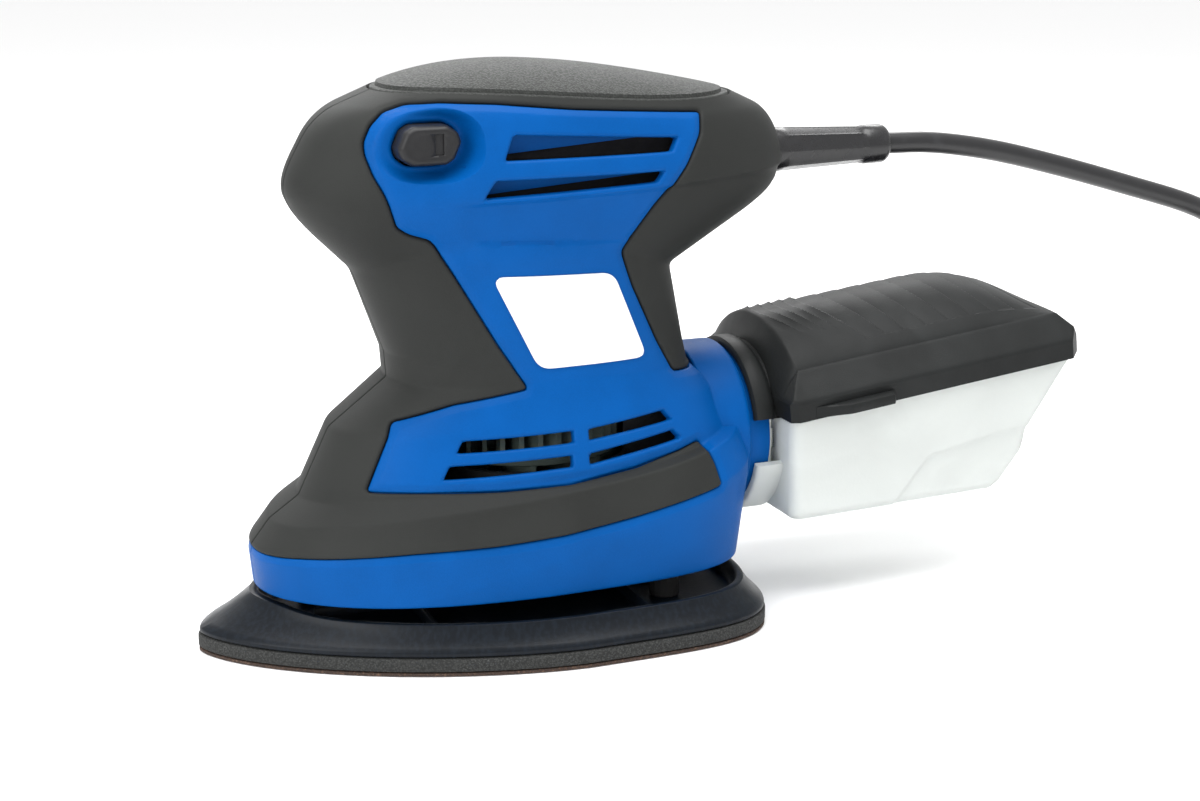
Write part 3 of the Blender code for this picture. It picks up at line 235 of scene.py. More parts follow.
class Signal:
    """A shader socket that takes part in arithmetic: each operator adds a Math node."""

    def __init__(self, finish, socket):
        self.finish, self.socket = finish, socket

    def math(self, operation, *others):
        return self.finish.node("ShaderNodeMath", {"operation": operation}, {
            i: value for i, value in enumerate((self, *others))
        })

    def reflected(self, operation, other):
        return self.finish.node("ShaderNodeMath", {"operation": operation}, {0: other, 1: self})

    def __add__(self, other):
        return self.math("ADD", other)

    def __sub__(self, other):
        return self.math("SUBTRACT", other)

    def __mul__(self, other):
        return self.math("MULTIPLY", other)

    def __truediv__(self, other):
        return self.math("DIVIDE", other)

    def __pow__(self, other):
        return self.math("POWER", other)

    def __rsub__(self, other):
        return self.reflected("SUBTRACT", other)

    __radd__ = __add__
    __rmul__ = __mul__

    def clamped(self):
        return self.finish.node("ShaderNodeClamp", {}, {0: self})

    def smooth(self, low, high):
        """0 below low, 1 above high, and a smooth step between."""
        return self.finish.node("ShaderNodeMapRange", {"interpolation_type": "SMOOTHSTEP"}, {
            "Value": self, "From Min": low, "From Max": high,
        })


class Finish:
    """A material built from expressions. Patterns are laid out on Object coordinates, in metres."""

    def __init__(self, name):
        self.material = bpy.data.materials.new(name)
        self.material.use_nodes = True
        self.tree = self.material.node_tree
        self.shader = self.tree.nodes["Principled BSDF"]
        self.place = self.node("ShaderNodeTexCoord", {}, {}, "Object")

    def node(self, kind, settings=None, inputs=None, outlet=0):
        """Adds a node of a kind, makes its settings, then sets or links its sockets. Returns the outlet."""
        made = self.tree.nodes.new(kind)
        for key, value in (settings or {}).items():
            setattr(made, key, value)
        for key, value in (inputs or {}).items():
            self.feed(made.inputs[key], value)
        return Signal(self, made.outputs[outlet])

    def feed(self, socket, value):
        if isinstance(value, Signal):
            self.tree.links.new(value.socket, socket)
        elif hasattr(socket.default_value, "__len__") and len(socket.default_value) == 4 and len(value) == 3:
            socket.default_value = (*value, 1)
        else:
            socket.default_value = value

    def noise(self, scale, detail=2.0, place=None, roughness=0.5, distortion=0.0):
        return self.node("ShaderNodeTexNoise", {}, {
            "Vector": place or self.place, "Scale": scale, "Detail": detail, "Roughness": roughness,
            "Distortion": distortion,
        })

    def cells(self, scale, feature="F1"):
        return self.node("ShaderNodeTexVoronoi", {"feature": feature}, {"Vector": self.place, "Scale": scale})

    def stretched(self, scale):
        """The place with each axis scaled, for streaks and brushing."""
        return self.node("ShaderNodeMapping", {}, {"Vector": self.place, "Scale": scale})

    def axis(self, name):
        return self.node("ShaderNodeSeparateXYZ", {}, {0: self.place}, name)

    def mix(self, factor, first, second):
        return self.node("ShaderNodeMix", {"data_type": "RGBA"}, {0: factor, 6: first, 7: second}, 2)

    def bump(self, height, distance, strength=1.0):
        """Distance is in millimetres."""
        return self.node("ShaderNodeBump", {}, {
            "Height": height, "Distance": distance * MM, "Strength": strength,
        })

    def set(self, **inputs):
        """Sets the Principled shader's sockets; an underscore in a name stands for a space."""
        for key, value in inputs.items():
            self.feed(self.shader.inputs[key.replace("_", " ")], value)
        return self.material


def shade(colour, factor):
    return tuple(min(1.0, c * factor) for c in colour)


def moulded(name, colour, roughness, grain=2600, depth=0.03, variation=0.06, patches=140):
    """Spark-eroded plastic: fine grain in the normal, faint patches in colour and gloss."""
    finish = Finish(name)
    fine = finish.noise(grain, 3, roughness=0.6)
    broad = finish.noise(patches, 3)
    rough = finish.noise(patches * 2.3, 4)
    patchy = (broad * 0.7 + fine * 0.3).smooth(0.3, 0.7)
    tone = finish.mix(patchy, shade(colour, 1 - variation), shade(colour, 1 + variation))
    return finish.set(
        Base_Color=tone, Roughness=rough * 0.12 + (roughness - 0.06), Normal=finish.bump(fine, depth),
        Specular_IOR_Level=0.25,
    )


def blue_nylon():
    """Satin blue with a fine grain, a little glossier on the crests of the grain."""
    blue = tuple(colours().housing)
    finish = Finish("blue_nylon")
    grain = finish.noise(2300, 4, roughness=0.62)
    broad = finish.noise(70, 3)
    specks = finish.cells(1500)
    tone = finish.mix((broad * 0.6 + grain * 0.4).smooth(0.32, 0.68), shade(blue, 0.93), shade(blue, 1.07))
    rough = broad * 0.1 + specks.smooth(0.1, 0.6) * 0.06 + 0.33
    return finish.set(
        Base_Color=tone, Roughness=rough, Normal=finish.bump(grain, 0.035), Specular_IOR_Level=0.07,
    )


def soft_rubber(name, colour, roughness=0.6):
    """Matt overmould with a dusty bloom in patches."""
    finish = Finish(name)
    grain = finish.noise(3200, 4, roughness=0.65)
    bloom = finish.noise(45, 4, distortion=0.4)
    tone = finish.mix(bloom.smooth(0.35, 0.75), shade(colour, 0.93), shade(colour, 1.12))
    tone = finish.mix(grain.smooth(0.45, 0.8) * 0.35, tone, shade(colour, 1.35))
    return finish.set(
        Base_Color=tone, Roughness=bloom * 0.12 + (roughness - 0.05), Normal=finish.bump(grain, 0.04),
        Specular_IOR_Level=0.16,
    )


def pebbled_rubber():
    """Leather-like pebbles about half a millimetre across, shinier on their tops, with painted light: lighter
    on their tops and darker in the hollows between them.
    """
    colour = tuple(colours().palm_cap)
    finish = Finish("pebbled_rubber")
    warp = finish.noise(900, 2)
    pebble = finish.cells(2100, "SMOOTH_F1") + warp * 0.25
    tops = 1 - pebble.smooth(0.2, 0.8)
    # painted highlight on the pebble tops and painted shade in the hollows between them
    tone = finish.mix(tops, shade(colour, 0.75), shade(colour, 1.15))
    broad = finish.noise(60, 3)
    return finish.set(
        Base_Color=tone, Roughness=0.62 - tops * 0.16 + broad * 0.08, Normal=finish.bump(tops, 0.11, 0.8),
        Specular_IOR_Level=0.25,
    )


def platen_nylon():
    """Semi-gloss bluish black, with faint drag lines up its flared side."""
    colour = tuple(colours().platen)
    finish = Finish("platen_nylon")
    drag = finish.noise(120, 4, finish.stretched((8, 8, 0.6)))
    grain = finish.noise(1800, 3)
    tone = finish.mix(drag.smooth(0.4, 0.7), shade(colour, 0.85), shade(colour, 1.5))
    return finish.set(
        Base_Color=tone, Roughness=drag * 0.16 + 0.27, Normal=finish.bump(grain * 0.4 + drag, 0.05, 0.6),
        Specular_IOR_Level=0.17,
    )


def cell_foam():
    """Coarse closed-cell foam with lighter and darker specks."""
    colour = tuple(colours().foam)
    finish = Finish("cell_foam")
    cell = finish.cells(1700)
    grain = finish.noise(2600, 4, roughness=0.7)
    specks = finish.noise(3400, 2).smooth(0.6, 0.72)
    tone = finish.mix(cell.smooth(0.1, 0.7), shade(colour, 1.3), shade(colour, 0.5))
    tone = finish.mix(specks * 0.6, tone, shade(colour, 3.2))
    relief = finish.bump((1 - cell) * 0.7 + grain * 0.5, 0.22)
    return finish.set(Base_Color=tone, Roughness=0.97 - specks * 0.1, Normal=relief)


def coated_paper():
    """Brown abrasive paper, with grit on its working side."""
    finish = Finish("coated_paper")
    grit = finish.cells(2800)
    fleck = finish.noise(1500, 3).smooth(0.5, 0.8)
    tone = finish.mix(grit.smooth(0.1, 0.6), (0.06, 0.032, 0.02), (0.025, 0.014, 0.01))
    tone = finish.mix(fleck * 0.5, tone, (0.3, 0.16, 0.09))
    return finish.set(Base_Color=tone, Roughness=0.85 - fleck * 0.2, Normal=finish.bump(1 - grit, 0.12))


def milky_plastic():
    """Translucent polypropylene: light passes and scatters, with a faint haze of flow marks."""
    colour = tuple(colours().dust_box)
    finish = Finish("milky_plastic")
    flow = finish.noise(30, 4, distortion=1.2)
    grain = finish.noise(1400, 3)
    tone = finish.mix(flow.smooth(0.3, 0.75), shade(colour, 0.97), shade(colour, 1.06))
    return finish.set(
        Base_Color=tone, Roughness=flow * 0.12 + 0.36, Normal=finish.bump(grain, 0.03),
        Transmission_Weight=0.42, IOR=1.42, Specular_IOR_Level=0.4,
    )


def lid_nylon():
    """Satin black with a light tooling grain, rubbed a little glossier in patches."""
    colour = tuple(colours().lid)
    finish = Finish("lid_nylon")
    grain = finish.noise(2400, 3, roughness=0.6)
    rubbed = finish.noise(55, 4, distortion=0.5)
    tone = finish.mix(rubbed.smooth(0.35, 0.7), shade(colour, 0.85), shade(colour, 1.2))
    return finish.set(
        Base_Color=tone, Roughness=0.5 - rubbed.smooth(0.4, 0.8) * 0.12, Normal=finish.bump(grain, 0.045),
        Specular_IOR_Level=0.16,
    )


def cord_rubber(name="cord_rubber", roughness=0.32):
    """Smooth black jacket with faint scuffs."""
    colour = tuple(colours().cord)
    finish = Finish(name)
    scuff = finish.noise(260, 4, distortion=0.6)
    tone = finish.mix(scuff.smooth(0.55, 0.8), colour, shade(colour, 2.2))
    fine = finish.noise(1500, 2)
    rough = scuff * 0.18 + (roughness - 0.08)
    return finish.set(Base_Color=tone, Roughness=rough, Normal=finish.bump(fine, 0.015))


def label_film():
    """White satin film, with the faint unevenness of print varnish, and painted shade: greyer where its cut
    edge rolls down.
    """
    finish = Finish("label_film")
    edge = finish.node("ShaderNodeAttribute", {"attribute_name": "edge_distance"}, {}, "Fac")
    varnish = finish.noise(260, 4, distortion=0.3)
    tone = finish.mix(varnish.smooth(0.3, 0.7), (0.82, 0.83, 0.84), (0.88, 0.88, 0.88))
    # painted shade: the colour turns grey over the last 0.3 mm towards the rolled-down cut edge
    tone = finish.mix(1 - edge.smooth(0, 0.3), tone, (0.55, 0.57, 0.6))
    return finish.set(Base_Color=tone, Roughness=varnish * 0.12 + 0.26, Normal=finish.bump(varnish, 0.012))


def metal(name, colour, roughness, brushing=(1, 1, 1), variation=0.12):
    """Turned or rolled metal: streaks along one direction in gloss and normal."""
    finish = Finish(name)
    streak = finish.noise(900, 4, finish.stretched(brushing))
    stain = finish.noise(90, 3)
    tone = finish.mix(stain, shade(colour, 1 - variation), shade(colour, 1 + variation * 0.5))
    rough = streak * 0.2 + (roughness - 0.1)
    return finish.set(Base_Color=tone, Metallic=1.0, Roughness=rough, Normal=finish.bump(streak, 0.02))


def banded(name, colour, other, pitch, axis="Z", metallic=1.0, roughness=0.35):
    """Fine bands square to an axis, pitch in millimetres apart, as on laminations and windings."""
    finish = Finish(name)
    wave = (finish.axis(axis) * (2 * math.pi / (pitch * MM))).math("SINE") * 0.5 + 0.5
    blotch = finish.noise(200, 3)
    tone = finish.mix((wave * 0.7 + blotch * 0.3).clamped(), other, colour)
    rough = blotch * 0.15 + roughness
    return finish.set(Base_Color=tone, Metallic=metallic, Roughness=rough, Normal=finish.bump(wave, 0.12))


# ---------------------------------------------------------------- surfaces


def grid_faces(rows, columns, closed=False):
    """Quads of a grid whose points are numbered row by row. closed joins the last column to the first."""
    r = np.arange(rows - 1)[:, None]
    c = np.arange(columns if closed else columns - 1)[None, :]
    d = (c + 1) % columns
    corners = r * columns + c, r * columns + d, (r + 1) * columns + d, (r + 1) * columns + c
    return np.stack([np.broadcast_to(a, (rows - 1, c.shape[1])) for a in corners], -1).reshape(-1, 4)


def triangles(quads):
    return np.concatenate([quads[:, [0, 1, 2]], quads[:, [0, 2, 3]]])


def joined(*meshes):
    """Several (points, faces) as one. Quads become triangles if any mesh has triangles."""
    mixed = len({faces.shape[1] for _, faces in meshes}) > 1
    points, all_faces, start = [], [], 0
    for place, faces in meshes:
        faces = triangles(faces) if mixed and faces.shape[1] == 4 else faces
        points.append(place)
        all_faces.append(faces + start)
        start += len(place)
    return np.concatenate(points), np.concatenate(all_faces)


def piece(name, points, faces, finish, body, replaced=(), slot=None, sharp=38, values=None):
    """A mesh piece from points in millimetres, on its body. values are the name and the numbers of one point
    attribute."""
    mesh = bpy.data.meshes.new(name)
    mesh.vertices.add(len(points))
    mesh.vertices.foreach_set("co", (np.asarray(points) * MM).astype(np.float32).ravel())
    mesh.loops.add(faces.size)
    mesh.loops.foreach_set("vertex_index", faces.astype(np.int32).ravel())
    mesh.polygons.add(len(faces))
    mesh.polygons.foreach_set("loop_start", np.arange(0, faces.size, faces.shape[1], dtype=np.int32))
    mesh.update(calc_edges=True)
    mesh.validate()
    if values is not None:
        attribute = mesh.attributes.new(values[0], "FLOAT", "POINT")
        attribute.data.foreach_set("value", values[1].astype(np.float32))
    mesh.shade_smooth()
    if sharp:
        mesh.set_sharp_from_angle(angle=math.radians(sharp))
    mesh.materials.append(finish)
    obj = bpy.data.objects.new(name, mesh)
    bpy.context.scene.collection.objects.link(obj)
    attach(obj, body)
    if replaced:
        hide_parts(*replaced)
    return obj


def cut_out(obj, points, faces):
    """Cuts a closed shape out of a piece, and applies the cut."""
    mesh = bpy.data.meshes.new("cutter")
    mesh.from_pydata((points * MM).tolist(), [], faces.tolist())
    cutter = bpy.data.objects.new("cutter", mesh)
    bpy.context.scene.collection.objects.link(cutter)
    cut = obj.modifiers.new("cut", "BOOLEAN")
    cut.object, cut.operation, cut.solver = cutter, "DIFFERENCE", "EXACT"
    bpy.context.view_layer.update()
    made = bpy.data.meshes.new_from_object(obj.evaluated_get(bpy.context.evaluated_depsgraph_get()))
    obj.modifiers.clear()
    obj.data = made
    bpy.data.objects.remove(cutter)


def rounded(outline, radius, steps=4):
    """A closed outline with each corner made a parabola that starts and ends at most radius from it."""
    corner = np.array(outline, float)
    before, after = np.roll(corner, 1, 0) - corner, np.roll(corner, -1, 0) - corner
    t = np.linspace(0, 1, steps + 1)[None, :, None]
    lengths = (np.linalg.norm(side, axis=1, keepdims=True) for side in (before, after))
    start, end = (
        corner + side * np.minimum(radius / length, 0.48) for side, length in zip((before, after), lengths)
    )
    arc = start[:, None] * (1 - t) ** 2 + corner[:, None] * 2 * t * (1 - t) + end[:, None] * t**2
    return arc.reshape(-1, 2)


def inside_distance(x, z, outline):
    """Distance from each point to a closed outline, positive inside it: the nearest of its edges, with the sign
    from how many edges a ray crosses."""
    a = np.asarray(outline, float)
    b = np.roll(a, -1, 0)
    edge = b - a
    found = np.empty(len(x))
    for part in np.array_split(np.arange(len(x)), max(1, len(x) * len(a) // 2_000_000)):
        px, pz = x[part, None], z[part, None]
        dx, dz = px - a[:, 0], pz - a[:, 1]
        t = np.clip((dx * edge[:, 0] + dz * edge[:, 1]) / (edge**2).sum(1), 0, 1)
        near = np.sqrt(((dx - t * edge[:, 0]) ** 2 + (dz - t * edge[:, 1]) ** 2).min(1))
        spans = (a[:, 1] > pz) != (b[:, 1] > pz)
        height = np.where(edge[:, 1] == 0, 1e-12, edge[:, 1])
        crossing = spans & (px < a[:, 0] + (pz - a[:, 1]) / height * edge[:, 0])
        found[part] = np.where(crossing.sum(1) % 2 == 1, near, -near)
    return found


def smooth_step(value, low, high):
    t = np.clip((value - low) / (high - low), 0, 1)
    return t * t * (3 - 2 * t)


def soft_low(a, b, reach):
    """The lower of two heights, blended by a parabola where they are within reach of each other."""
    share = np.clip(0.5 + 0.5 * (b - a) / reach, 0, 1)
    return b * (1 - share) + a * share - reach * share * (1 - share)


def cut_along(params, faces, field, level, keep_all=True):
    """Adds an edge wherever the field of the parameters passes a level: a triangle with one corner alone
    becomes three, and one with a corner on the level becomes two. With keep_all False, only the side above the
    level stays."""
    value = field(params) - level
    value[np.abs(value) < 0.02] = 0
    sign = np.sign(value)[faces]
    mixed = (sign.max(1) > 0) & (sign.min(1) < 0)
    whole, torn = faces[~mixed], faces[mixed]
    sign = sign[mixed]
    # turn each torn triangle so that its first corner is the one alone, or the zero one if there is one
    zero = (sign == 0).any(1)
    alone = np.where(zero, (sign == 0).argmax(1), (sign == -np.sign(sign.sum(1))[:, None]).argmax(1))
    torn = np.take_along_axis(torn, (alone[:, None] + np.arange(3)) % 3, 1)

    def crossing(first, second):
        """One new point on each edge that is crossed, shared by the triangles on both its sides."""
        pairs = np.sort(np.stack([first, second], 1), 1)
        share = value[pairs[:, 0]] / (value[pairs[:, 0]] - value[pairs[:, 1]])
        return pairs, params[pairs[:, 0]] * (1 - share[:, None]) + params[pairs[:, 1]] * share[:, None]

    a, b, c = torn.T
    pairs, places = crossing(
        np.concatenate([a[~zero], a[~zero], b[zero]]), np.concatenate([b[~zero], c[~zero], c[zero]])
    )
    key, first, index = np.unique(
        pairs[:, 0] * np.int64(len(params)) + pairs[:, 1], return_index=True, return_inverse=True
    )
    index = index.reshape(-1) + len(params)
    count = (~zero).sum()
    p, q, m = index[:count], index[count : 2 * count], index[2 * count :]
    params = np.concatenate([params, places[first]])
    value = np.concatenate([value, np.zeros(len(first))])
    a2, b2, c2, a1, b1, c1 = a[~zero], b[~zero], c[~zero], a[zero], b[zero], c[zero]
    faces = np.concatenate([
        whole, np.stack([a2, p, q], 1), np.stack([p, b2, c2], 1), np.stack([p, c2, q], 1),
        np.stack([a1, b1, m], 1), np.stack([a1, m, c1], 1),
    ])
    if not keep_all:
        faces = faces[value[faces].max(1) > 0]
        faces = faces[value[faces].min(1) >= 0]
        used, index = np.unique(faces, return_inverse=True)
        params, faces = params[used], index.reshape(-1, 3)
    return params, faces


def walled(outer, inner, faces):
    """A closed wall between two copies of a surface: the outer one, the inner one turned round, and a strip
    along every edge that belongs to one face only."""
    count = len(outer)
    edges = np.concatenate([faces[:, [0, 1]], faces[:, [1, 2]], faces[:, [2, 0]]])
    low, high = np.sort(edges, 1).T
    _, index, uses = np.unique(low * np.int64(count) + high, return_inverse=True, return_counts=True)
    a, b = edges[uses[index.reshape(-1)] == 1].T
    strip = np.concatenate([np.stack([b, a, a + count], 1), np.stack([b, a + count, b + count], 1)])
    return np.concatenate([outer, inner]), np.concatenate([faces, faces[:, ::-1] + count, strip])


def mirrored(points, faces):
    """The same surface across the centre plane, with its faces still pointing out."""
    return points * (1, -1, 1), faces[:, ::-1]


def turned(profile, place, axis="Z", segments=96, ripple=None):
    """A closed surface of revolution: profile (radius, height) pairs run once round the section, anticlockwise
    as seen with radius to the right. ripple(angle, radius, height) adds to the radius."""
    profile = np.asarray(profile, float)
    angle = np.arange(segments) * 2 * math.pi / segments
    radius, height = np.broadcast_to(profile[:, :1], (len(profile), segments)), profile[:, 1:] + 0 * angle
    if ripple:
        radius = radius + ripple(angle[None], radius, height)
    u, v = radius * np.cos(angle), radius * np.sin(angle)
    axes = {"Z": (u, v, height), "X": (height, u, v)}[axis]
    points = np.stack(axes, -1).reshape(-1, 3) + place
    return points, grid_faces(len(profile), segments, closed=True)


def capped(rows):
    """A closed body through equal loops, each end closed on its middle."""
    ends = [np.broadcast_to(rows[i].mean(0), rows[i].shape) for i in (0, -1)]
    return np.concatenate([ends[0], *rows, ends[1]]), grid_faces(len(rows) + 2, len(rows[0]), closed=True)


def loop_of(*profile):
    """A profile closed on itself, so that its solid has no ends."""
    return [*profile, profile[0]]


def arc(centre, radius, start, end, steps=5):
    """Points of a circle's arc, angles in degrees, as (radius, height) pairs of a profile."""
    a = np.radians(np.linspace(start, end, steps))
    return [(centre[0] + radius * math.cos(t), centre[1] + radius * math.sin(t)) for t in a]


# ---------------------------------------------------------------- the body's skin


def section(turn, front, rear, half_width, widest, front_power, rear_power):
    """A level section as two quarter superellipses that meet where it is widest: at angle t the radius is
    (|cos t|^n + |sin t|^n)^(-1/n). Angle 0 is the front and pi the rear. Returns x and half width."""
    c, s = np.cos(turn), np.sin(turn)
    ahead = c > 0
    power = np.where(ahead, front_power, rear_power)
    radius = (np.abs(c) ** power + np.abs(s) ** power) ** (-1 / power)
    reach = np.where(ahead, widest - front, rear - widest)
    return widest - reach * radius * c, half_width * radius * s


def ring_points(ring, turn):
    """Points of a body ring on the near side: its section, with height the cubic through its four heights."""
    front, rear, half_width, widest, front_power, rear_power, heights, _ = ring
    x, w = section(turn, front, rear, half_width, widest, front_power, rear_power)
    share = (x - front) / (rear - front)
    z = np.polyval(np.polyfit([0, 1 / 3, 2 / 3, 1], heights, 3), share)
    return np.stack([x, -w, z], -1)


def body_point(params):
    """The body's near side. The two parameters are the angle round it and the level, which is a ring's number
    on that ring. Between rings the surface is straight, and at a ring it is a parabola that starts and ends at
    the ring's rounding distance."""
    turn, level = params[:, 0], params[:, 1]
    rings = np.stack([ring_points(ring, turn) for ring in BODY_RINGS])
    k = np.clip(np.rint(level), 0, TOP_LEVEL).astype(int)
    at = np.arange(len(turn))
    here = rings[k, at]
    down = rings[np.maximum(k - 1, 0), at] - here
    up = rings[np.minimum(k + 1, TOP_LEVEL), at] - here
    rounding = np.array([ring[7] for ring in BODY_RINGS], float)[k]
    low, high = (
        here + way * np.minimum(rounding / np.maximum(np.linalg.norm(way, axis=1), 1e-6), MOST_BEND)[:, None]
        for way in (down, up)
    )
    s = (level - k)[:, None]
    t = np.clip((s + 0.25) / 0.5, 0, 1)
    bend = low * (1 - t) ** 2 + here * 2 * t * (1 - t) + high * t**2
    below = np.clip((-0.25 - s) / 0.25, 0, 1) * (here + down / 2 - low)
    above = np.clip((s - 0.25) / 0.25, 0, 1) * (here + up / 2 - high)
    return bend + below + above


def body_normal(params):
    """Outward unit normal of the body from differences along the two parameters."""
    du, dv = np.array([2e-3, 0]), np.array([0, 4e-3])
    low, high = np.clip(params - dv, 0, TOP_LEVEL), np.clip(params + dv, 0, TOP_LEVEL)
    along = body_point(params + du) - body_point(params - du)
    up = body_point(high) - body_point(low)
    normal = np.cross(along, up)
    return normal / np.linalg.norm(normal, axis=1, keepdims=True)


def level_samples(pitch):
    """Levels for the rows of the mesh: enough for the pitch between rings, and a few across each rounding."""
    turn = np.linspace(0, math.pi, 9)
    rings = np.stack([ring_points(ring, turn) for ring in BODY_RINGS])
    length = np.linalg.norm(np.diff(rings, axis=0), axis=2).max(1)
    found = [0.0]
    for k in range(TOP_LEVEL):
        bends = [min(BODY_RINGS[k + i][7], length[k] * MOST_BEND) for i in (0, 1)]
        zones = bends[0], length[k] / 2 - bends[0], length[k] / 2 - bends[1], bends[1]
        for i, zone in enumerate(zones):
            steps = max(2 if i in (0, 3) and zone > 0 else 1, math.ceil(zone / pitch))
            found += [k + 0.25 * (i + (j + 1) / steps) for j in range(steps)]
    return np.array(found)


def well_distance(x, z):
    """About the distance inside the oval of the switch's well."""
    along, up = np.abs((x - SWITCH_X) / WELL_HALF_X), np.abs((z - SWITCH_Z) / WELL_HALF_Z)
    r = (along**2.5 + up**2.5) ** (1 / 2.5)
    return (1 - r) * (WELL_HALF_X + WELL_HALF_Z) / 2


class Skin:
    """The near side of the body as fields of its two parameters, in millimetres."""

    grip_outline = rounded(SOFT_GRIP_OUTLINE, 1.2)
    vent_outlines = [rounded(v, 0.4, 3) for v in (*UPPER_VENTS, *LOWER_VENTS)]
    switch_outline = rounded([(SWITCH_X + x, SWITCH_Z + z) for x, z in SWITCH_OUTLINE], 1.2, 3)
    label_outline = rounded(LABEL_OUTLINE, 3.4, 8)

    @staticmethod
    def side(params):
        point = body_point(params)
        return point[:, 0], point[:, 2]

    @classmethod
    def grip(cls, params):
        return inside_distance(*cls.side(params), cls.grip_outline)

    @classmethod
    def solid(cls, params):
        """Distance from the nearest vent or the switch's slot, positive on the wall."""
        x, z = cls.side(params)
        holes = [inside_distance(x, z, outline) for outline in cls.vent_outlines]
        holes.append(inside_distance(x, z, cls.switch_outline) + 0.55)
        return -np.max(holes, 0)

    @classmethod
    def well(cls, params):
        return well_distance(*cls.side(params))

    @classmethod
    def label(cls, params):
        return inside_distance(*cls.side(params), cls.label_outline)

    @classmethod
    def screw_holes(cls, params):
        x, z = cls.side(params)
        return np.min([np.hypot(x - a, z - b) for a, b in SCREW_HOLES], 0) - SCREW_HOLE_RADIUS

    @staticmethod
    def seam(params):
        return -body_point(params)[:, 1] - 0.12

    @staticmethod
    def lower_edge(params):
        return body_point(params)[:, 2] - 16

    @staticmethod
    def upper_edge(params):
        return (TOP_LEVEL - params[:, 1]) * 7.5

    @classmethod
    def shaped(cls, params):
        """The surface with its broad features: a lip under the upper vents, a ledge under the waist's crease, a
        soft facet on the skirt, and the switch's well."""
        point, normal = body_point(params), body_normal(params)
        x, z = point[:, 0], point[:, 2]
        lip = np.interp(x, [-10, 42, 60, 90], [117.4, 118.9, 119.8, 120.5])
        proud = 1.1 * smooth_step(z, lip - 0.7, lip + 0.7) * smooth_step(-z, -137, -124)
        proud = proud * smooth_step(x, -14, -4)
        fold = np.interp(x, [-60, -30, 60, 90], [16, 16, 38, 38])
        tuck = 0.085 * np.clip(fold - z, 0, 30)
        crease = np.interp(x, [-10, 45], [107.6, 104.9])
        ledge = 0.8 * smooth_step(-z, -crease - 0.3, -crease + 0.5) * smooth_step(z, 97.5, 103.5)
        ledge = ledge * smooth_step(x, -8, -3) * smooth_step(-x, -46, -12)
        point = point + normal * (proud + ledge - tuck)[:, None]
        dish = np.sin(np.clip(well_distance(x, z) / WELL_SLOPE, 0, 1) * math.pi / 2) ** 1.25
        point[:, 1] += (-WELL_FLOOR - point[:, 1]) * dish
        return point, normal


def eased(distance, radius):
    """How far a rounded edge has dropped at a distance from it: a quarter circle of that radius."""
    inward = np.clip(radius - distance, 0, radius)
    return radius - np.sqrt(np.maximum(radius**2 - inward**2, 0))


def skin_base():
    """The body's whole near side as parameters and triangles."""
    levels = level_samples(sizes().pitch / MM)
    turn = np.linspace(0, math.pi, 171)
    params = np.stack(np.meshgrid(turn, levels), -1).reshape(-1, 2)
    return params, triangles(grid_faces(len(levels), len(turn)))


def skin_piece(params, faces, fields, thickness, side, bevel=None):
    """A wall of the body bounded by fields, each (field, edge radius, levels to add): its edges drop along the
    normal as a quarter circle, and its inside keeps the thickness. The bevel adds a drop of its own from the
    parameters. side is -1 near, 1 far."""
    for field, _, extra in fields:
        params, faces = cut_along(params, faces, field, 0, keep_all=False)
        for level in extra:
            params, faces = cut_along(params, faces, field, level)
    point, normal = Skin.shaped(params)
    drop = np.max([eased(field(params), radius) for field, radius, _ in fields], 0)
    if bevel:
        drop = drop + bevel(params)
    made = walled(point - normal * drop[:, None], point - normal * thickness, faces)
    return made if side < 0 else mirrored(*made)


def housing_reach(params):
    """Distance inside the blue shell's edge, which runs on under the soft grip."""
    return UNDER_LAP - Skin.grip(params)


def housing_bevel(params):
    """How far the shell drops along the soft grip's outline: a bevel, a rounded edge at the parting, and a step
    down under the grip."""
    edge = -Skin.grip(params) - sizes().parting / MM / 2
    under = sizes().grip_thickness / MM + 0.35
    bevel = BEVEL_DEPTH * np.clip(1 - edge / BEVEL_WIDTH, 0, 1) + eased(np.maximum(edge, 0), 0.35)
    return np.where(edge > -0.02, bevel, under)


def grip_field(params):
    return Skin.grip(params) - sizes().parting / MM / 2


def plate(outline, y):
    """An upright plate behind a vent."""
    front = np.array([(x, -y, z) for x, z in outline], float)
    first, second = np.subtract(outline[1], outline[0]), np.subtract(outline[2], outline[1])
    clockwise = first[0] * second[1] - first[1] * second[0] < 0
    quad = np.array([[0, 3, 2, 1] if clockwise else [0, 1, 2, 3]])
    return walled(front, front + (0, PLATE_THICKNESS, 0), triangles(quad))


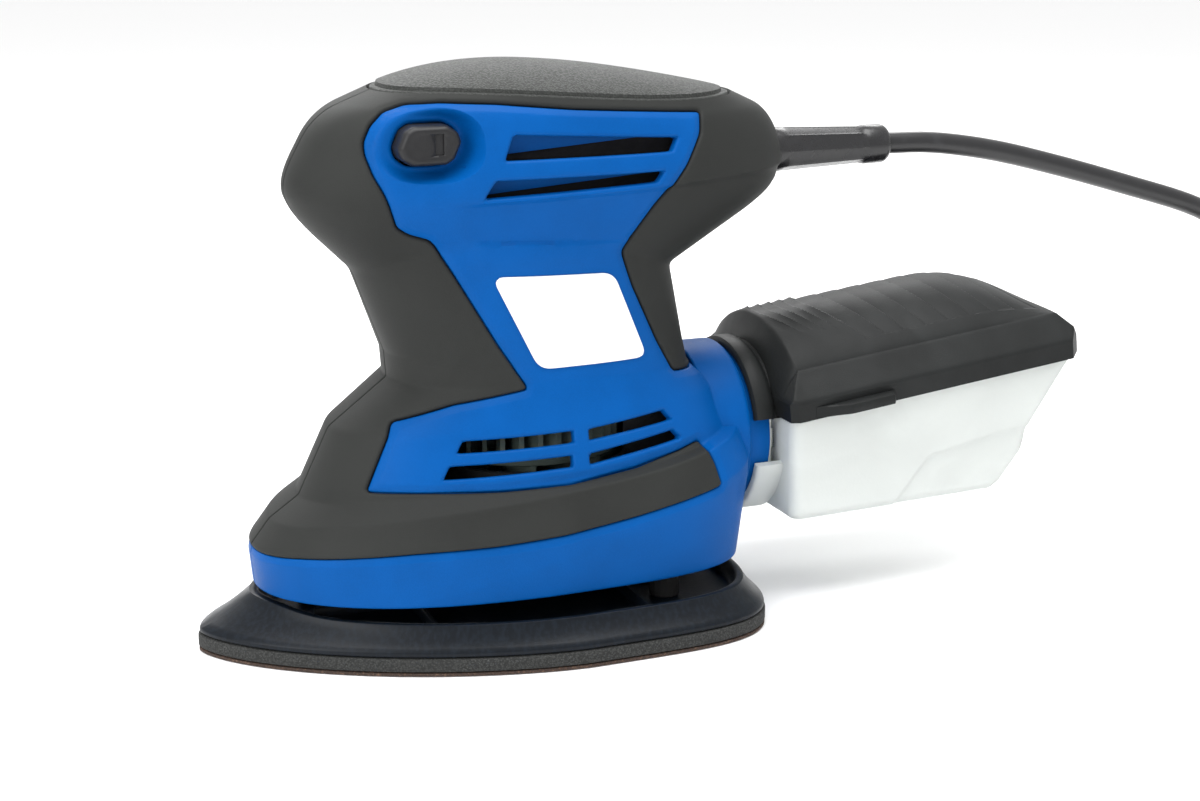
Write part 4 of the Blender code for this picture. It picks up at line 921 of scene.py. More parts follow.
class SANDER_OT_housing(bpy.types.Operator):
    """Build the two blue half shells with their vents and the switch's well, and black sheets of painted shade
    behind the vents
    """

    bl_idname = "sander.housing"
    bl_label = "Housing"

    def execute(self, context):
        blue = blue_nylon()
        # Near-black finish of the sheets behind the vents: painted shade for the dark inside
        painted_shade_black = moulded("painted_shade_black", (0.006, 0.006, 0.007), 0.85, 900, 0.1, 0.3)
        for name, side in (("left", -1), ("right", 1)):
            params, faces = skin_base()
            for level in (0, 0.5, 1.1, 1.8, 2.6, WELL_SLOPE):
                params, faces = cut_along(params, faces, Skin.well, level)
            parting = sizes().parting / MM / 2
            steps = [UNDER_LAP + parting + at for at in (-0.1, 0, 0.1, 0.35, BEVEL_WIDTH)]
            fields = [
                (housing_reach, 0.01, steps), (Skin.solid, 0.8, (0.1, 0.35, 0.8)),
                (Skin.seam, 0.4, (0.1, 0.4)), (Skin.lower_edge, 0.6, (0.15, 0.6)),
                (Skin.upper_edge, 0.5, (0.5,)),
            ]
            if side > 0:
                fields.append((Skin.screw_holes, 0.5, (0.12, 0.5)))
            shell = skin_piece(params, faces, fields, sizes().wall / MM, side, housing_bevel)
            extras = [plate(outline, BAFFLE_Y) for outline in VENT_BAFFLES]
            # Black sheets behind the vents, painted shade that hides the inside
            shade_sheet = joined(*[plate(outline, SHADE_SHEET_Y) for outline in VENT_SHADE_SHEETS])
            if side > 0:
                extras = [mirrored(*extra) for extra in extras]
                shade_sheet = mirrored(*shade_sheet)
            piece(f"vent_shade_sheet_{name}", *shade_sheet, painted_shade_black, "housing", (), "black_plastic")
            body = joined(shell, *extras)
            piece(f"blue_shell_{name}", *body, blue, "housing", (f"housing_{name}",), "housing")
        return {"FINISHED"}


class SANDER_OT_soft_grip(bpy.types.Operator):
    """Build the black overmoulded grips"""

    bl_idname = "sander.soft_grip"
    bl_label = "Soft Grips"

    def execute(self, context):
        rubber = soft_rubber("soft_grip_rubber", tuple(colours().soft_grip))
        for name, side in (("left", -1), ("right", 1)):
            fields = [
                (grip_field, 0.7, (0.1, 0.35, 0.8)), (Skin.seam, 0.4, (0.1, 0.4)),
                (Skin.upper_edge, 0.5, (0.15, 0.5)),
            ]
            if side > 0:
                fields.append((Skin.screw_holes, 0.5, (0.12, 0.5)))
            made = skin_piece(*skin_base(), fields, sizes().grip_thickness / MM, side)
            piece(f"overmould_{name}", *made, rubber, "housing", (f"soft_grip_{name}",), "soft_grip")
        return {"FINISHED"}


class SANDER_OT_labels(bpy.types.Operator):
    """Lay a blank film label on each side of the waist"""

    bl_idname = "sander.labels"
    bl_label = "Labels"

    def execute(self, context):
        film = label_film()
        for name, side in (("left", -1), ("right", 1)):
            params, faces = skin_base()
            params, faces = cut_along(params, faces, Skin.label, 0, keep_all=False)
            for level in (0.1, 0.3):
                params, faces = cut_along(params, faces, Skin.label, level)
            point, normal = Skin.shaped(params)
            edge = Skin.label(params)
            lift = 0.42 - eased(edge, 0.12)
            made = walled(point + normal * lift[:, None], point + normal * 0.08, faces)
            made = made if side < 0 else mirrored(*made)
            piece(
                f"blank_label_{name}", *made, film, "housing", (f"label_{name}",), "label",
                values=("edge_distance", np.tile(edge, 2)),
            )
        return {"FINISHED"}


# ---------------------------------------------------------------- palm cap


def cap_height(x, share):
    """Height of the palm cap: its edge's height, plus a dome that falls to the edge as (1 - share^2)^0.9."""
    front, rear, *_, heights, _ = BODY_RINGS[-1]
    rise = np.polyfit([0, 1 / 3, 2 / 3, 1], heights, 3)
    edge = np.polyval(rise, np.clip((x - front) / (rear - front), 0, 1))
    return edge + CAP_CROWN * (1 - share**2) ** 0.9


class SANDER_OT_palm_cap(bpy.types.Operator):
    """Build the crowned and pebbled palm cap"""

    bl_idname = "sander.palm_cap"
    bl_label = "Palm Cap"

    def execute(self, context):
        front, rear, half_width, widest, front_power, rear_power = BODY_RINGS[-1][:6]
        turn = np.linspace(-math.pi, math.pi, 220, endpoint=False)
        x, w = section(np.abs(turn), front, rear, half_width, widest, front_power, rear_power)
        w = w * np.sign(turn)
        inset = (1.25, 0.35, 0.35, 0.45, 0.75, 1.3)
        rows = []
        for away, drop in zip(inset, (2.6, 2.6, 0.8, 0.3, 0.08, 0)):
            shrink = 1 - away / 27
            px, pw = widest + (x - widest) * shrink, w * shrink
            rows.append(np.stack([px, pw, cap_height(px, np.ones_like(px)) + 0.3 - drop], 1))
        for share in np.linspace(0.94, 0.0, 40) ** 0.9:
            px, pw = widest + (x - widest) * share, w * share
            rows.append(np.stack([px, pw, cap_height(px, np.full_like(px, share)) + 0.2 + 0.1 * share], 1))
        floor = np.stack([x * 0 + widest, w * 0, cap_height(x * 0 + widest, np.ones_like(x)) - 2.6], 1)
        points = np.concatenate([floor, *rows])
        faces = grid_faces(len(rows) + 1, len(turn), closed=True)
        piece("palm_pad", points, faces, pebbled_rubber(), "housing", ("palm_cap",), "palm_cap", sharp=50)
        return {"FINISHED"}


# ---------------------------------------------------------------- switch


def outline_solid(outline, layers):
    """A solid stacked along -Y from copies of a side outline: layers are (y, how far the outline is drawn in),
    from the back to the front. The ends close on their middle."""
    outline = np.asarray(outline, float)
    centre = outline.mean(0)
    rows = []
    for y, inset in layers:
        away = outline - centre
        length = np.linalg.norm(away, axis=1, keepdims=True)
        flat = centre + away * (1 - inset / length)
        rows.append(np.stack([flat[:, 0], np.full(len(flat), y), flat[:, 1]], 1))
    return capped(rows)


class SANDER_OT_switch(bpy.types.Operator):
    """Build the push-through switch bar with its mark"""

    bl_idname = "sander.switch"
    bl_label = "Switch"

    def execute(self, context):
        outline = rounded([(SWITCH_X + x, SWITCH_Z + z) for x, z in SWITCH_OUTLINE], 0.8, 5)
        bar = outline_solid(outline, [
            (22.9, 1.5), (22.9, 1.0), (22.6, 0.45), (22.0, 0.12), (21, 0), (-24.2, 0), (-25.6, 0.15),
            (-26.3, 0.5), (-26.8, 1.1), (-26.9, 1.7), (-26.8, 2.2), (-26.8, 3.2),
        ])
        plastic = moulded("switch_plastic", (0.012, 0.012, 0.013), 0.4, grain=2200, variation=0.15)
        obj = piece("switch_button", *bar, plastic, "switch", ("switch_bar",), "black_plastic")
        stroke = ((-1.1, -2.6), (1.1, -2.6), (1.1, 2.6), (-1.1, 2.6))
        mark = [(SWITCH_X + 2.2 + x, SWITCH_Z + 0.3 + z) for x, z in stroke]
        cut_out(obj, *outline_solid(mark, [(-26.3, 0), (-28, 0)]))
        return {"FINISHED"}


# ---------------------------------------------------------------- pad


def iron_outline(inset=0.0, rear=PAD_HALF_LENGTH, half_width=PAD_HALF_WIDTH, tip=-PAD_HALF_LENGTH, side=1.58,
                 tip_power=0.65, rear_power=4.6, count=90):
    """The pad's outline from the tip along the near side to the rear and back: ahead of the widest point the
    half width is W (1 - s^side)^power, with s the share of the way to the tip, and behind it a superellipse."""
    t = np.linspace(0, 1, count)
    s = 1 - t**1.8
    a = np.linspace(0, math.pi / 2, count // 2)[1:]
    front, back, half = tip + inset * 1.4, rear - inset, half_width - inset
    power = 2 / rear_power
    x = PAD_WIDEST_X + np.r_[(front - PAD_WIDEST_X) * s, (back - PAD_WIDEST_X) * np.sin(a) ** power]
    w = half * np.r_[np.clip(1 - s**side, 0, 1) ** tip_power, np.clip(np.cos(a), 0, 1) ** power]
    return np.r_[x, x[-2:0:-1]], np.r_[-w, w[-2:0:-1]]


def rim_outline(inset=0.0):
    return iron_outline(inset, 70.5, 44.8, -61.5, 1.8, 0.6, 4.4)


def pad_row(outline, z):
    x, y = outline
    return np.stack([x, y, np.broadcast_to(z, x.shape)], 1)


def closed_rows(rows):
    """A closed body through rows from the middle of its underside, round its edge, to the middle of its top.
    The ends close on the pad's widest place."""
    ends = [np.broadcast_to([[PAD_WIDEST_X, 0, row[0, 2]]], row.shape) for row in (rows[0], rows[-1])]
    rows = [ends[0], *rows, ends[1]]
    return np.concatenate(rows), grid_faces(len(rows), rows[0].shape[0], closed=True)


def layer(name, bottom, top, finish, replaced, slot, edge, inset=0.0):
    """A flat layer of the pad with rounded edges, pierced by the dust holes."""
    rows = [
        pad_row(iron_outline(away + inset), z)
        for away, z in (
            (edge, bottom), (edge * 0.3, bottom + edge * 0.3), (0, bottom + edge), (0, top - edge),
            (edge * 0.3, top - edge * 0.3), (edge, top),
        )
    ]
    obj = piece(name, *closed_rows(rows), finish, "pad", (replaced,), slot, sharp=60)
    pierce(obj, DUST_HOLES, 4.0)
    return obj


def pierce(obj, holes, radius):
    """Cuts round holes through a flat piece."""
    for x, y in holes:
        cut_out(obj, *turned([(0, -5), (radius, -5), (radius, 30), (0, 30)], (x, y, 0), segments=32))


class SANDER_OT_pad(bpy.types.Operator):
    """Build the platen, the foam and the abrasive sheet"""

    bl_idname = "sander.pad"
    bl_label = "Pad"

    def execute(self, context):
        x, _ = rim_outline()
        lift = 2.2 * np.exp(-(((x - x.min()) / 9) ** 2))

        def rim(inset, drop):
            px, py = rim_outline(inset)
            return np.stack([px, py, 12.3 + lift - drop], 1)

        def between(share, bulge):
            """A row of the flared side: the share of the way from foot to rim, drawn in by the bulge."""
            low, high = pad_row(iron_outline(0.45), 6.4), rim(0.25, 0.5)
            row = low * (1 - share) + high * share
            row[:, 2] -= bulge
            return row

        rows = [
            pad_row(iron_outline(4), 4.9), pad_row(iron_outline(0.7), 4.9), pad_row(iron_outline(0.35), 5.2),
            pad_row(iron_outline(0.3), 5.9), between(0, 0),
            *[between(s, 0.5 * math.sin(math.pi * s)) for s in (0.2, 0.4, 0.6, 0.8)],
            between(1, 0), rim(0.35, 0.15), rim(0.6, 0), rim(1.7, 0), rim(1.95, 0.15), rim(2.1, 0.5),
            rim(2.5, 2.5), *[pad_row(rim_outline(away), z) for away, z in ((3.1, 8.6), (3.5, 8.1), (4.2, 8))],
        ]
        ribs = [self.rib(*rib) for rib in (
            (-46, 6, -9, -9), (-46, 6, 9, 9), (31, 66, 0, 0), (-20, -20, -32, 32), (36, 36, -40, 40),
        )]
        hub = turned(
            loop_of((15, 7.5), (15, 18.0), (14.7, 18.4), (12, 18.4), (11.4, 18.0), (11.4, 7.5)),
            (MOTOR_X + 1, 0, 0), segments=72,
        )
        points, faces = closed_rows(rows)
        body = joined((points, faces), *ribs, hub)
        nylon = platen_nylon()
        piece("platen_dish", *body, nylon, "pad", ("platen",), "platen", sharp=42)
        foam = layer("foam_layer", 1.1, 4.6, cell_foam(), "foam_pad", "foam", 0.45)
        layer("abrasive_sheet", 0, 0.8, coated_paper(), "sanding_sheet", "abrasive", 0.12, 0.1)
        return {"FINISHED"}

    @staticmethod
    def rib(x0, x1, y0, y1):
        """An upright rib of the platen from one point to another, 1.4 mm thick with a softened top."""
        start, end = np.array([x0, y0, 0.0]), np.array([x1, y1, 0.0])
        along = (end - start) / np.linalg.norm(end - start)
        across = np.array([-along[1], along[0], 0])
        section_points = [(0.7, 7.6), (0.7, 10.6), (0.35, 11), (-0.35, 11), (-0.7, 10.6), (-0.7, 7.6)]
        rows = [
            [place + across * a * scale + (0, 0, h) for a, h in section_points]
            for place, scale in ((start, 0.0), (start, 1), (end, 1), (end, 0.0))
        ]
        return np.array(rows).reshape(-1, 3), grid_faces(4, len(section_points), closed=True)


# ---------------------------------------------------------------- dust outlet, box and lid


class SANDER_OT_outlet(bpy.types.Operator):
    """Build the blue dust outlet"""

    bl_idname = "sander.outlet"
    bl_label = "Dust Outlet"

    def execute(self, context):
        profile = loop_of(
            (18.2, 60.7), (24.0, 60.7), (24.3, 61.0), (24.5, 64), *arc((22.6, 71.2), 1.9, 0, 90, 7),
            (22.2, 73.2), (22.1, 78.9), (21.7, 79.4), (18.4, 79.4), (18.1, 79.0), (18.4, 66),
        )
        points, faces = turned(profile, (0, 0, OUTLET_Z), "X", 128)
        blue = bpy.data.materials["blue_nylon"]
        piece("outlet_cone", points, faces, blue, "housing", ("dust_outlet",), "housing")
        return {"FINISHED"}


def round_box(x0, x1, half_width, radius, count=14, long_side=90, short_side=20):
    """A rectangle with round corners, anticlockwise from above: four quarter circles, with points along the
    straight sides between them. Returns x and y."""
    a = np.linspace(0, math.pi / 2, count)
    middle, hx, hy = (x0 + x1) / 2, (x1 - x0) / 2 - radius, half_width - radius
    corners = [
        np.stack([middle + sx * hx + radius * np.cos(a + turn), sy * hy + radius * np.sin(a + turn)], 1)
        for sx, sy, turn in ((1, 1, 0), (-1, 1, math.pi / 2), (-1, -1, math.pi), (1, -1, 1.5 * math.pi))
    ]
    parts = []
    for k, corner in enumerate(corners):
        share = np.linspace(0, 1, (short_side if k % 2 else long_side) + 2)[1:-1, None]
        parts += [corner, corner[-1] + (corners[(k + 1) % 4][0] - corner[-1]) * share]
    return np.concatenate(parts).T


class SANDER_OT_dust_box(bpy.types.Operator):
    """Build the milky dust box with its half collar"""

    bl_idname = "sander.dust_box"
    bl_label = "Dust Box"

    @staticmethod
    def row(share, inset=0.0, lift=0.0):
        """A loop round the box: share runs from 0 at its floor to 1 at its rim. Its front leans a little, and
        its rear follows four points up to the overhang."""
        z_front = np.interp(share, [0, 1], [24.2, 52.4])
        rear = np.interp(share, [0, 0.29, 0.5, 1], [149, 157, 159, 171.3])
        z_rear = np.interp(share, [0, 0.29, 0.5, 1], [26, 36.4, 44.4, 63.3])
        front = np.interp(share, [0, 1], [83.2, 82.1])
        half = np.interp(share, [0, 1], [29.3, 30.4])
        x, y = round_box(front + inset, rear - inset, half - inset, max(0.5, 3.6 - inset))
        return x, y, z_front + (z_rear - z_front) * (x - front) / (rear - front) + lift

    def execute(self, context):
        floor = ((14, 0.0), (4, 0.0), (2.2, 0.05), (1.0, 0.35), (0.3, 0.9))
        wall = np.linspace(0.06, 1, 44)
        rows = [np.stack(self.row(0, inset, lift), 1) for inset, lift in floor]
        rows += [np.stack(self.row(share), 1) for share in wall]
        outer = self.with_relief(np.concatenate([np.broadcast_to(rows[0].mean(0), rows[0].shape), *rows]))
        rows = [np.stack(self.row(0, inset + BOX_WALL, lift + BOX_WALL), 1) for inset, lift in floor]
        rows += [np.stack(self.row(share, BOX_WALL, BOX_WALL * (1 - share)), 1) for share in wall]
        inner = np.concatenate([np.broadcast_to(rows[0].mean(0), rows[0].shape), *rows])
        faces = triangles(grid_faces(len(rows) + 1, len(rows[0]), closed=True))
        faces = self.without_inlet(outer, faces)
        shell = walled(outer, inner, faces)
        angle = np.radians(np.linspace(195, 345, 80))
        collar = self.half_ring(angle, [
            (22.6, 74.8), (22.6, 83.2), (24.5, 83.2), (24.5, 76.0), (24.3, 75.2), (23.9, 74.8),
        ])
        body = joined(shell, collar)
        piece("milky_box", *body, milky_plastic(), "dust_box", ("dust_box",), "dust_box", sharp=50)
        return {"FINISHED"}

    @staticmethod
    def with_relief(points):
        """The panel low on each side stands back 0.8 mm behind a soft step."""
        panel = rounded([(114.9, 20), (114.9, 26.2), (124.9, 38.9), (150.4, 43.8), (175, 45), (175, 20)], 1.2)
        depth = 0.8 * smooth_step(inside_distance(points[:, 0], points[:, 2], panel), -0.1, 0.6)
        points = points.copy()
        points[:, 1] -= np.sign(points[:, 1]) * depth * (np.abs(points[:, 1]) > 27)
        return points

    @staticmethod
    def without_inlet(points, faces):
        """Leaves the round inlet open in the front wall."""
        middle = points[faces].mean(1)
        inside = (middle[:, 0] < 86) & (np.hypot(middle[:, 1], middle[:, 2] - OUTLET_Z) < 17.5)
        return faces[~inside]

    @staticmethod
    def half_ring(angle, profile):
        """Part of a ring round the outlet's axis: a closed section of (radius, x) pairs carried along
        angles."""
        radius, x = np.array(profile, float).T
        return capped([
            np.stack([x, radius * math.cos(a), OUTLET_Z + radius * math.sin(a)], 1) for a in angle
        ])


class SANDER_OT_lid(bpy.types.Operator):
    """Build the lid with its gills, ribs, hood and finger tab"""

    bl_idname = "sander.lid"
    bl_label = "Lid"

    @staticmethod
    def height(x, y):
        """Height over the rim plane at a place along and across the lid: facets rise from the rim on all four
        sides to a crest, and a long crown stands on them."""
        w = np.abs(y)
        rim, crest = LID_RIM, LID_CREST
        flank = rim + (crest - rim) * (LID_HALF_WIDTH - w) / 6.5
        front = rim + (crest - rim) * x / 5.5
        rear = rim + (crest - rim) * (LID_LENGTH - x) / 6.0
        deck = soft_low(soft_low(soft_low(flank, front, 0.3), rear, 0.3), crest + 0 * x, 0.3)
        ends = (1 - (1 - np.clip(x / 7, 0, 1)) ** 2.5) * (1 - np.clip((x - 58) / 31, 0, 1) ** 2.2)
        crown = 11.2 * ends * np.clip(1 - (w / 25.6) ** 2, 0, 1) ** 0.85
        return deck + crown

    @staticmethod
    def relief(x, y):
        """Five crescent gills at the front, then eight overlapping panels that end on a straight line, all
        swept back towards the sides."""
        swept = x - np.interp(x, [8, 42], [0.026, 0.011]) * y**2
        gill = (swept - 3.0) / 3.5
        fade = smooth_step(-np.abs(y), -18.5, -12) * (0.25 + 0.75 * smooth_step(np.abs(y), 1, 8))
        gills = np.where((gill > 0) & (gill < 5), 0.55 * (gill % 1) ** 2.2 * fade, 0)
        panel = (swept - 21.5) / 7.2
        inside = (panel > 0) & (panel < 8) & (np.abs(y) < 22)
        return gills - np.where(inside, 0.16 + 0.42 * (1 - panel % 1) ** 3, 0)

    @staticmethod
    def sheet(along, across):
        """The lid's outline as a grid: places along it, and shares of the half width across. The corners are
        cut."""
        x, share = np.meshgrid(along, across)
        corner = np.interp(x, [0, 2, 89, 94], [1.5, 0, 0, 5.5])
        half = LID_HALF_WIDTH - corner
        return x, share * half, half

    def execute(self, context):
        edge = np.array([0, 0.25, 0.6, 1.1])
        along = np.concatenate([edge, np.linspace(1.6, LID_LENGTH - 1.6, 262), LID_LENGTH - edge[::-1]])
        across = np.concatenate([-1 + edge / LID_HALF_WIDTH, np.linspace(-0.955, 0.955, 160),
                                 1 - edge[::-1] / LID_HALF_WIDTH])
        x, y, half = self.sheet(along, across)
        border = np.minimum(np.minimum(x, LID_LENGTH - x), half - np.abs(y))
        z = self.height(x, y) + self.relief(x, y) - eased(border, 0.6) * 0.7
        outer = self.shell(x, y, z, 0)
        x, y, half = self.sheet(np.linspace(0, LID_LENGTH, 60), np.linspace(-1, 1, 50))
        inner = self.shell(x, y, self.height(x, y) - LID_WALL, LID_WALL)
        points, faces = joined(outer, (inner[0], inner[1][:, ::-1]))
        tab = self.tab()
        points, faces = joined((self.placed(points), faces), self.hood(), (self.placed(tab[0]), tab[1]))
        piece("lid", points, faces, lid_nylon(), "dust_box_lid", ("dust_box_lid",), "lid", sharp=32)
        return {"FINISHED"}

    @staticmethod
    def shell(x, y, z, inset):
        """The top's grid and the upright rim below its border, drawn in by the inset."""
        x = LID_LENGTH / 2 + (x - LID_LENGTH / 2) * (1 - 2 * inset / LID_LENGTH)
        y = y * (1 - inset / LID_HALF_WIDTH)
        top = np.stack([x, y, z], -1)
        loop = np.concatenate([top[:, 0], top[-1, 1:], top[-2::-1, -1], top[0, -2:0:-1]])
        steps = [loop * (1, 1, share) for share in (1.0, 0.66, 0.33, 0.05, 0.0)]
        skirt = np.concatenate(steps), grid_faces(len(steps), len(loop), closed=True)
        return joined((top.reshape(-1, 3), grid_faces(*x.shape)[:, ::-1]), skirt)

    @staticmethod
    def placed(points):
        """From the lid's own frame, whose floor is its rim plane, to the tool's."""
        turn = np.array(Matrix.Rotation(-LID_TILT, 3, "Y"))
        return points @ turn.T + (LID_FRONT_X, 0, LID_FRONT_Z)

    @staticmethod
    def hood():
        """The half collar over the outlet, with a raised lip on its front edge."""
        angle = np.radians(np.linspace(16, 164, 90))
        return SANDER_OT_dust_box.half_ring(angle, [
            (22.6, 74.3), (22.6, 86.0), (23.5, 86.0), (23.5, 80.6), (24.4, 79.8), (24.95, 78.6),
            (24.95, 75.4), (24.7, 74.6), (24.0, 74.2), (23.2, 74.1),
        ])

    @staticmethod
    def tab():
        """The finger tab on the near side: a thin wedge that grows out of the rim."""
        along = np.linspace(7, 31, 40)
        reach = 3.8 * np.clip(np.minimum((along - 7) / 9, (31 - along) / 1.6), 0.02, 1)
        section_points = (
            (0.6, 0.3), (0.6, 3.2), (-0.7, 3.4), (-0.93, 3.1), (-1, 2.4), (-1, 1.2), (-0.93, 0.5), (-0.7, 0.3),
        )
        rows = [
            np.array([(x, -LID_HALF_WIDTH + (a * r if a < 0 else a), h) for a, h in section_points])
            for x, r in zip(along, reach)
        ]
        points, faces = capped(rows)
        return points, faces[:, ::-1]


# ---------------------------------------------------------------- fan


class SANDER_OT_fan(bpy.types.Operator):
    """Build the many-bladed double fan"""

    bl_idname = "sander.fan"
    bl_label = "Fan"

    @staticmethod
    def blades(count, inner, outer, low, high, lean, thickness):
        """Thin curved blades round the shaft: each runs from the inner to the outer radius and leans back by
        the angle."""
        share = np.linspace(0, 1, 6)
        radius = inner + (outer - inner) * share
        sweep = math.radians(lean) * share**1.5
        meshes = []
        for k in range(count):
            angle = 2 * math.pi * k / count + sweep
            middle = np.stack([radius * np.cos(angle), radius * np.sin(angle)], 1)
            side = np.stack([-np.sin(angle), np.cos(angle)], 1) * thickness / 2
            loop = [(middle - side, low), (middle + side, low), (middle + side, high), (middle - side, high)]
            points = np.stack([np.column_stack([flat, np.full(6, z)]) for flat, z in loop], 1)
            meshes.append(capped(list(points)))
        return joined(*meshes)

    def execute(self, context):
        disc = turned(loop_of(
            (4.3, 39.0), (8, 39.0), (8, 47.0), (25.2, 47.4), (25.5, 47.7), (25.5, 48.9), (25.2, 49.2),
            (8, 49.6), (8, 60), (4.3, 60),
        ), (0, 0, 0))
        upper = self.blades(32, 14, 25.3, 49.0, 60.5, 12, 1.3)
        lower = self.blades(8, 11, 25.2, 37.6, 47.6, 30, 1.4)
        points, faces = joined(disc, upper, lower)
        plastic = moulded("fan_plastic", (0.085, 0.11, 0.095), 0.5, grain=1400)
        piece("bladed_fan", points + (MOTOR_X, 0, 0), faces, plastic, "rotor", ("fan",), "black_plastic")
        return {"FINISHED"}


# ---------------------------------------------------------------- cord


def smooth_route(points, spacing):
    """Points on the Catmull-Rom curve through a route's own points, about spacing apart."""
    route = np.asarray(points, float)
    route = np.concatenate([[2 * route[0] - route[1]], route, [2 * route[-1] - route[-2]]])
    found = []
    for a, b, c, d in zip(route, route[1:], route[2:], route[3:]):
        t = np.linspace(0, 1, max(2, round(np.linalg.norm(c - b) / spacing)), endpoint=False)[:, None]
        found.append(0.5 * (2 * b + (c - a) * t + (2 * a - 5 * b + 4 * c - d) * t**2
                            + (3 * b - a - 3 * c + d) * t**3))
    return np.concatenate([*found, route[-2:-1]])


def coil_route():
    """The put-away cord, layer by layer from the top down. Each layer is a flat spiral of two turns that runs
    in or out by a diameter a turn, and the cord steps down to the next over a third of a turn about where it
    turns back."""
    period = 4 * math.pi
    a = np.linspace(0, period * COIL_LAYERS, 48 * 2 * COIL_LAYERS + 1)
    layer = np.floor(a / period)
    within = a / period - layer
    share = np.where(layer % 2 == 0, within, 1 - within)
    near = np.hypot(np.minimum(within, 1 - within) * period, 0.4) - 0.4
    share = np.where(share < 0.5, near / period, 1 - near / period)
    radius = COIL_OUTER_TURN - (COIL_OUTER_TURN - COIL_INNER_TURN) * share
    drop = sum(
        smooth_step(a, k * period - math.pi / 3, k * period + math.pi / 3) for k in range(1, COIL_LAYERS)
    )
    angle = math.pi / 2 - a
    return np.stack([
        COIL_X + radius * np.cos(angle), COIL_Y + radius * np.sin(angle), COIL_TOP - LAYER_STEP * drop
    ], 1)


def curve_piece(name, points, radius, finish, body):
    """A round tube along points, as a curve of one open spline."""
    curve = bpy.data.curves.new(name, "CURVE")
    curve.dimensions = "3D"
    curve.bevel_depth = radius * MM
    curve.bevel_resolution = 6
    curve.use_fill_caps = True
    spline = curve.splines.new("POLY")
    spline.points.add(len(points) - 1)
    spline.points.foreach_set("co", np.column_stack([points * MM, np.ones(len(points))]).ravel())
    curve.materials.append(finish)
    obj = bpy.data.objects.new(name, curve)
    bpy.context.scene.collection.objects.link(obj)
    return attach(obj, body)


def path_length(points):
    return np.linalg.norm(np.diff(points, axis=0), axis=1).sum()


class SANDER_OT_cord(bpy.types.Operator):
    """Lay the cord at its real length and wind up what is put away"""

    bl_idname = "sander.cord"
    bl_label = "Cord and Plug"

    def execute(self, context):
        rubber = cord_rubber()
        turns = coil_route()
        free = smooth_route(CORD_ROUTE, 4)[:-1]
        end = turns[-1]
        tail = smooth_route([end, end + (16, 0, 0.2), end + (28, 0, 1.2)], 3)[1:]
        route = np.concatenate([free, turns, tail])
        cord = curve_piece("free_cord", route, sizes().cord_diameter / MM / 2, rubber, "housing")
        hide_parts("cord", "cord_coil")
        self.report({"INFO"}, f"cord {path_length(route):.1f} mm")
        return {"FINISHED"}


class SANDER_OT_guard(bpy.types.Operator):
    """Build the cord guard with its lengthwise ridges"""

    bl_idname = "sander.guard"
    bl_label = "Cord Guard"

    def execute(self, context):
        def ripple(angle, radius, height):
            reach = smooth_step(height, 90, 92) * smooth_step(-height, -116.5, -115.5)
            return -0.42 * np.abs(np.sin(4 * angle)) ** 0.7 * reach * (radius > 3.2)

        end = GUARD_END_X
        profile = [
            (0.01, 57), (3, 57), (3, 73), (8.4, 73), (8.6, 73.3), (8.6, 75.3), (8.4, 75.6), (6.4, 75.6),
            (6.4, 84),
            *[(6.35 - 0.0385 * (x - 84), x) for x in np.linspace(85, 116, 30)],
            (5.3, 116.6), (5.45, 117.4), (5.4, end - 1.6), (5.15, end - 0.7), (4.7, end - 0.15), (4.2, end),
            (3.1, end), (0.01, end),
        ]
        points, faces = turned(profile, (0, 0, CORD_EXIT_Z), "X", 96, ripple)
        rubber = cord_rubber("guard_rubber", 0.26)
        piece("guard_sleeve", points, faces, rubber, "housing", ("cord_guard",), "cord_rubber")
        return {"FINISHED"}


# ---------------------------------------------------------------- carried-over engineering parts


class SANDER_OT_inside(bpy.types.Operator):
    """Give every engineering part that is shown its own finish"""

    bl_idname = "sander.inside"
    bl_label = "Working Parts"

    def execute(self, context):
        steel = metal("turned_steel", (0.5, 0.5, 0.52), 0.32, (1, 1, 12))
        bearing = metal("bearing_steel", (0.62, 0.62, 0.65), 0.24, (1, 1, 20))
        laminations = banded("laminations", (0.42, 0.42, 0.44), (0.16, 0.16, 0.17), 0.5)
        copper = banded("enamelled_copper", (0.62, 0.24, 0.09), (0.28, 0.08, 0.03), 0.7, "Z", 0.9, 0.3)
        bars = metal("commutator_copper", (0.68, 0.34, 0.18), 0.3, (14, 14, 1))
        brass = metal("stamped_brass", (0.72, 0.52, 0.2), 0.3, (3, 3, 1))
        zinc = metal("zinc_plate", (0.6, 0.61, 0.64), 0.36, (2, 2, 2), 0.2)
        black = moulded("inner_black", (0.022, 0.023, 0.025), 0.45, variation=0.2)
        carbon = moulded("pressed_carbon", (0.02, 0.02, 0.021), 0.55, 1800, 0.05, 0.3)
        rubber = soft_rubber("post_rubber", (0.016, 0.016, 0.016), 0.7)
        paper = moulded("filter_paper", (0.68, 0.64, 0.54), 0.9, 900, 0.08, 0.08)
        finishes = {
            "steel": steel, "bearing_steel": bearing, "lamination": laminations, "copper": copper,
            "brass": brass, "screws": zinc, "black_plastic": black, "carbon": carbon, "post_rubber": rubber,
            "filter": paper,
            "lead_brown": moulded("brown_insulation", (0.12, 0.04, 0.015), 0.4, 1200, 0.02, 0.1),
            "lead_blue": moulded("blue_insulation", (0.02, 0.09, 0.4), 0.4, 1200, 0.02, 0.1),
            "capacitor": moulded("capacitor_case", (0.65, 0.48, 0.06), 0.35, 900, 0.02, 0.06),
            "plated_brass": metal("nickel_plate", (0.68, 0.66, 0.62), 0.2, (2, 12, 2)),
            "cord_rubber": bpy.data.materials["cord_rubber"],
        }
        slots = {row["node"]: row["material_slot"] for row in frame["record"]["subparts"]}
        for name, node in frame["nodes"].items():
            if node.hide_render:
                continue
            finish = bars if name == "commutator" else finishes[slots[name]]
            node.data.materials.clear()
            node.data.materials.append(finish)
        return {"FINISHED"}


# ---------------------------------------------------------------- stage


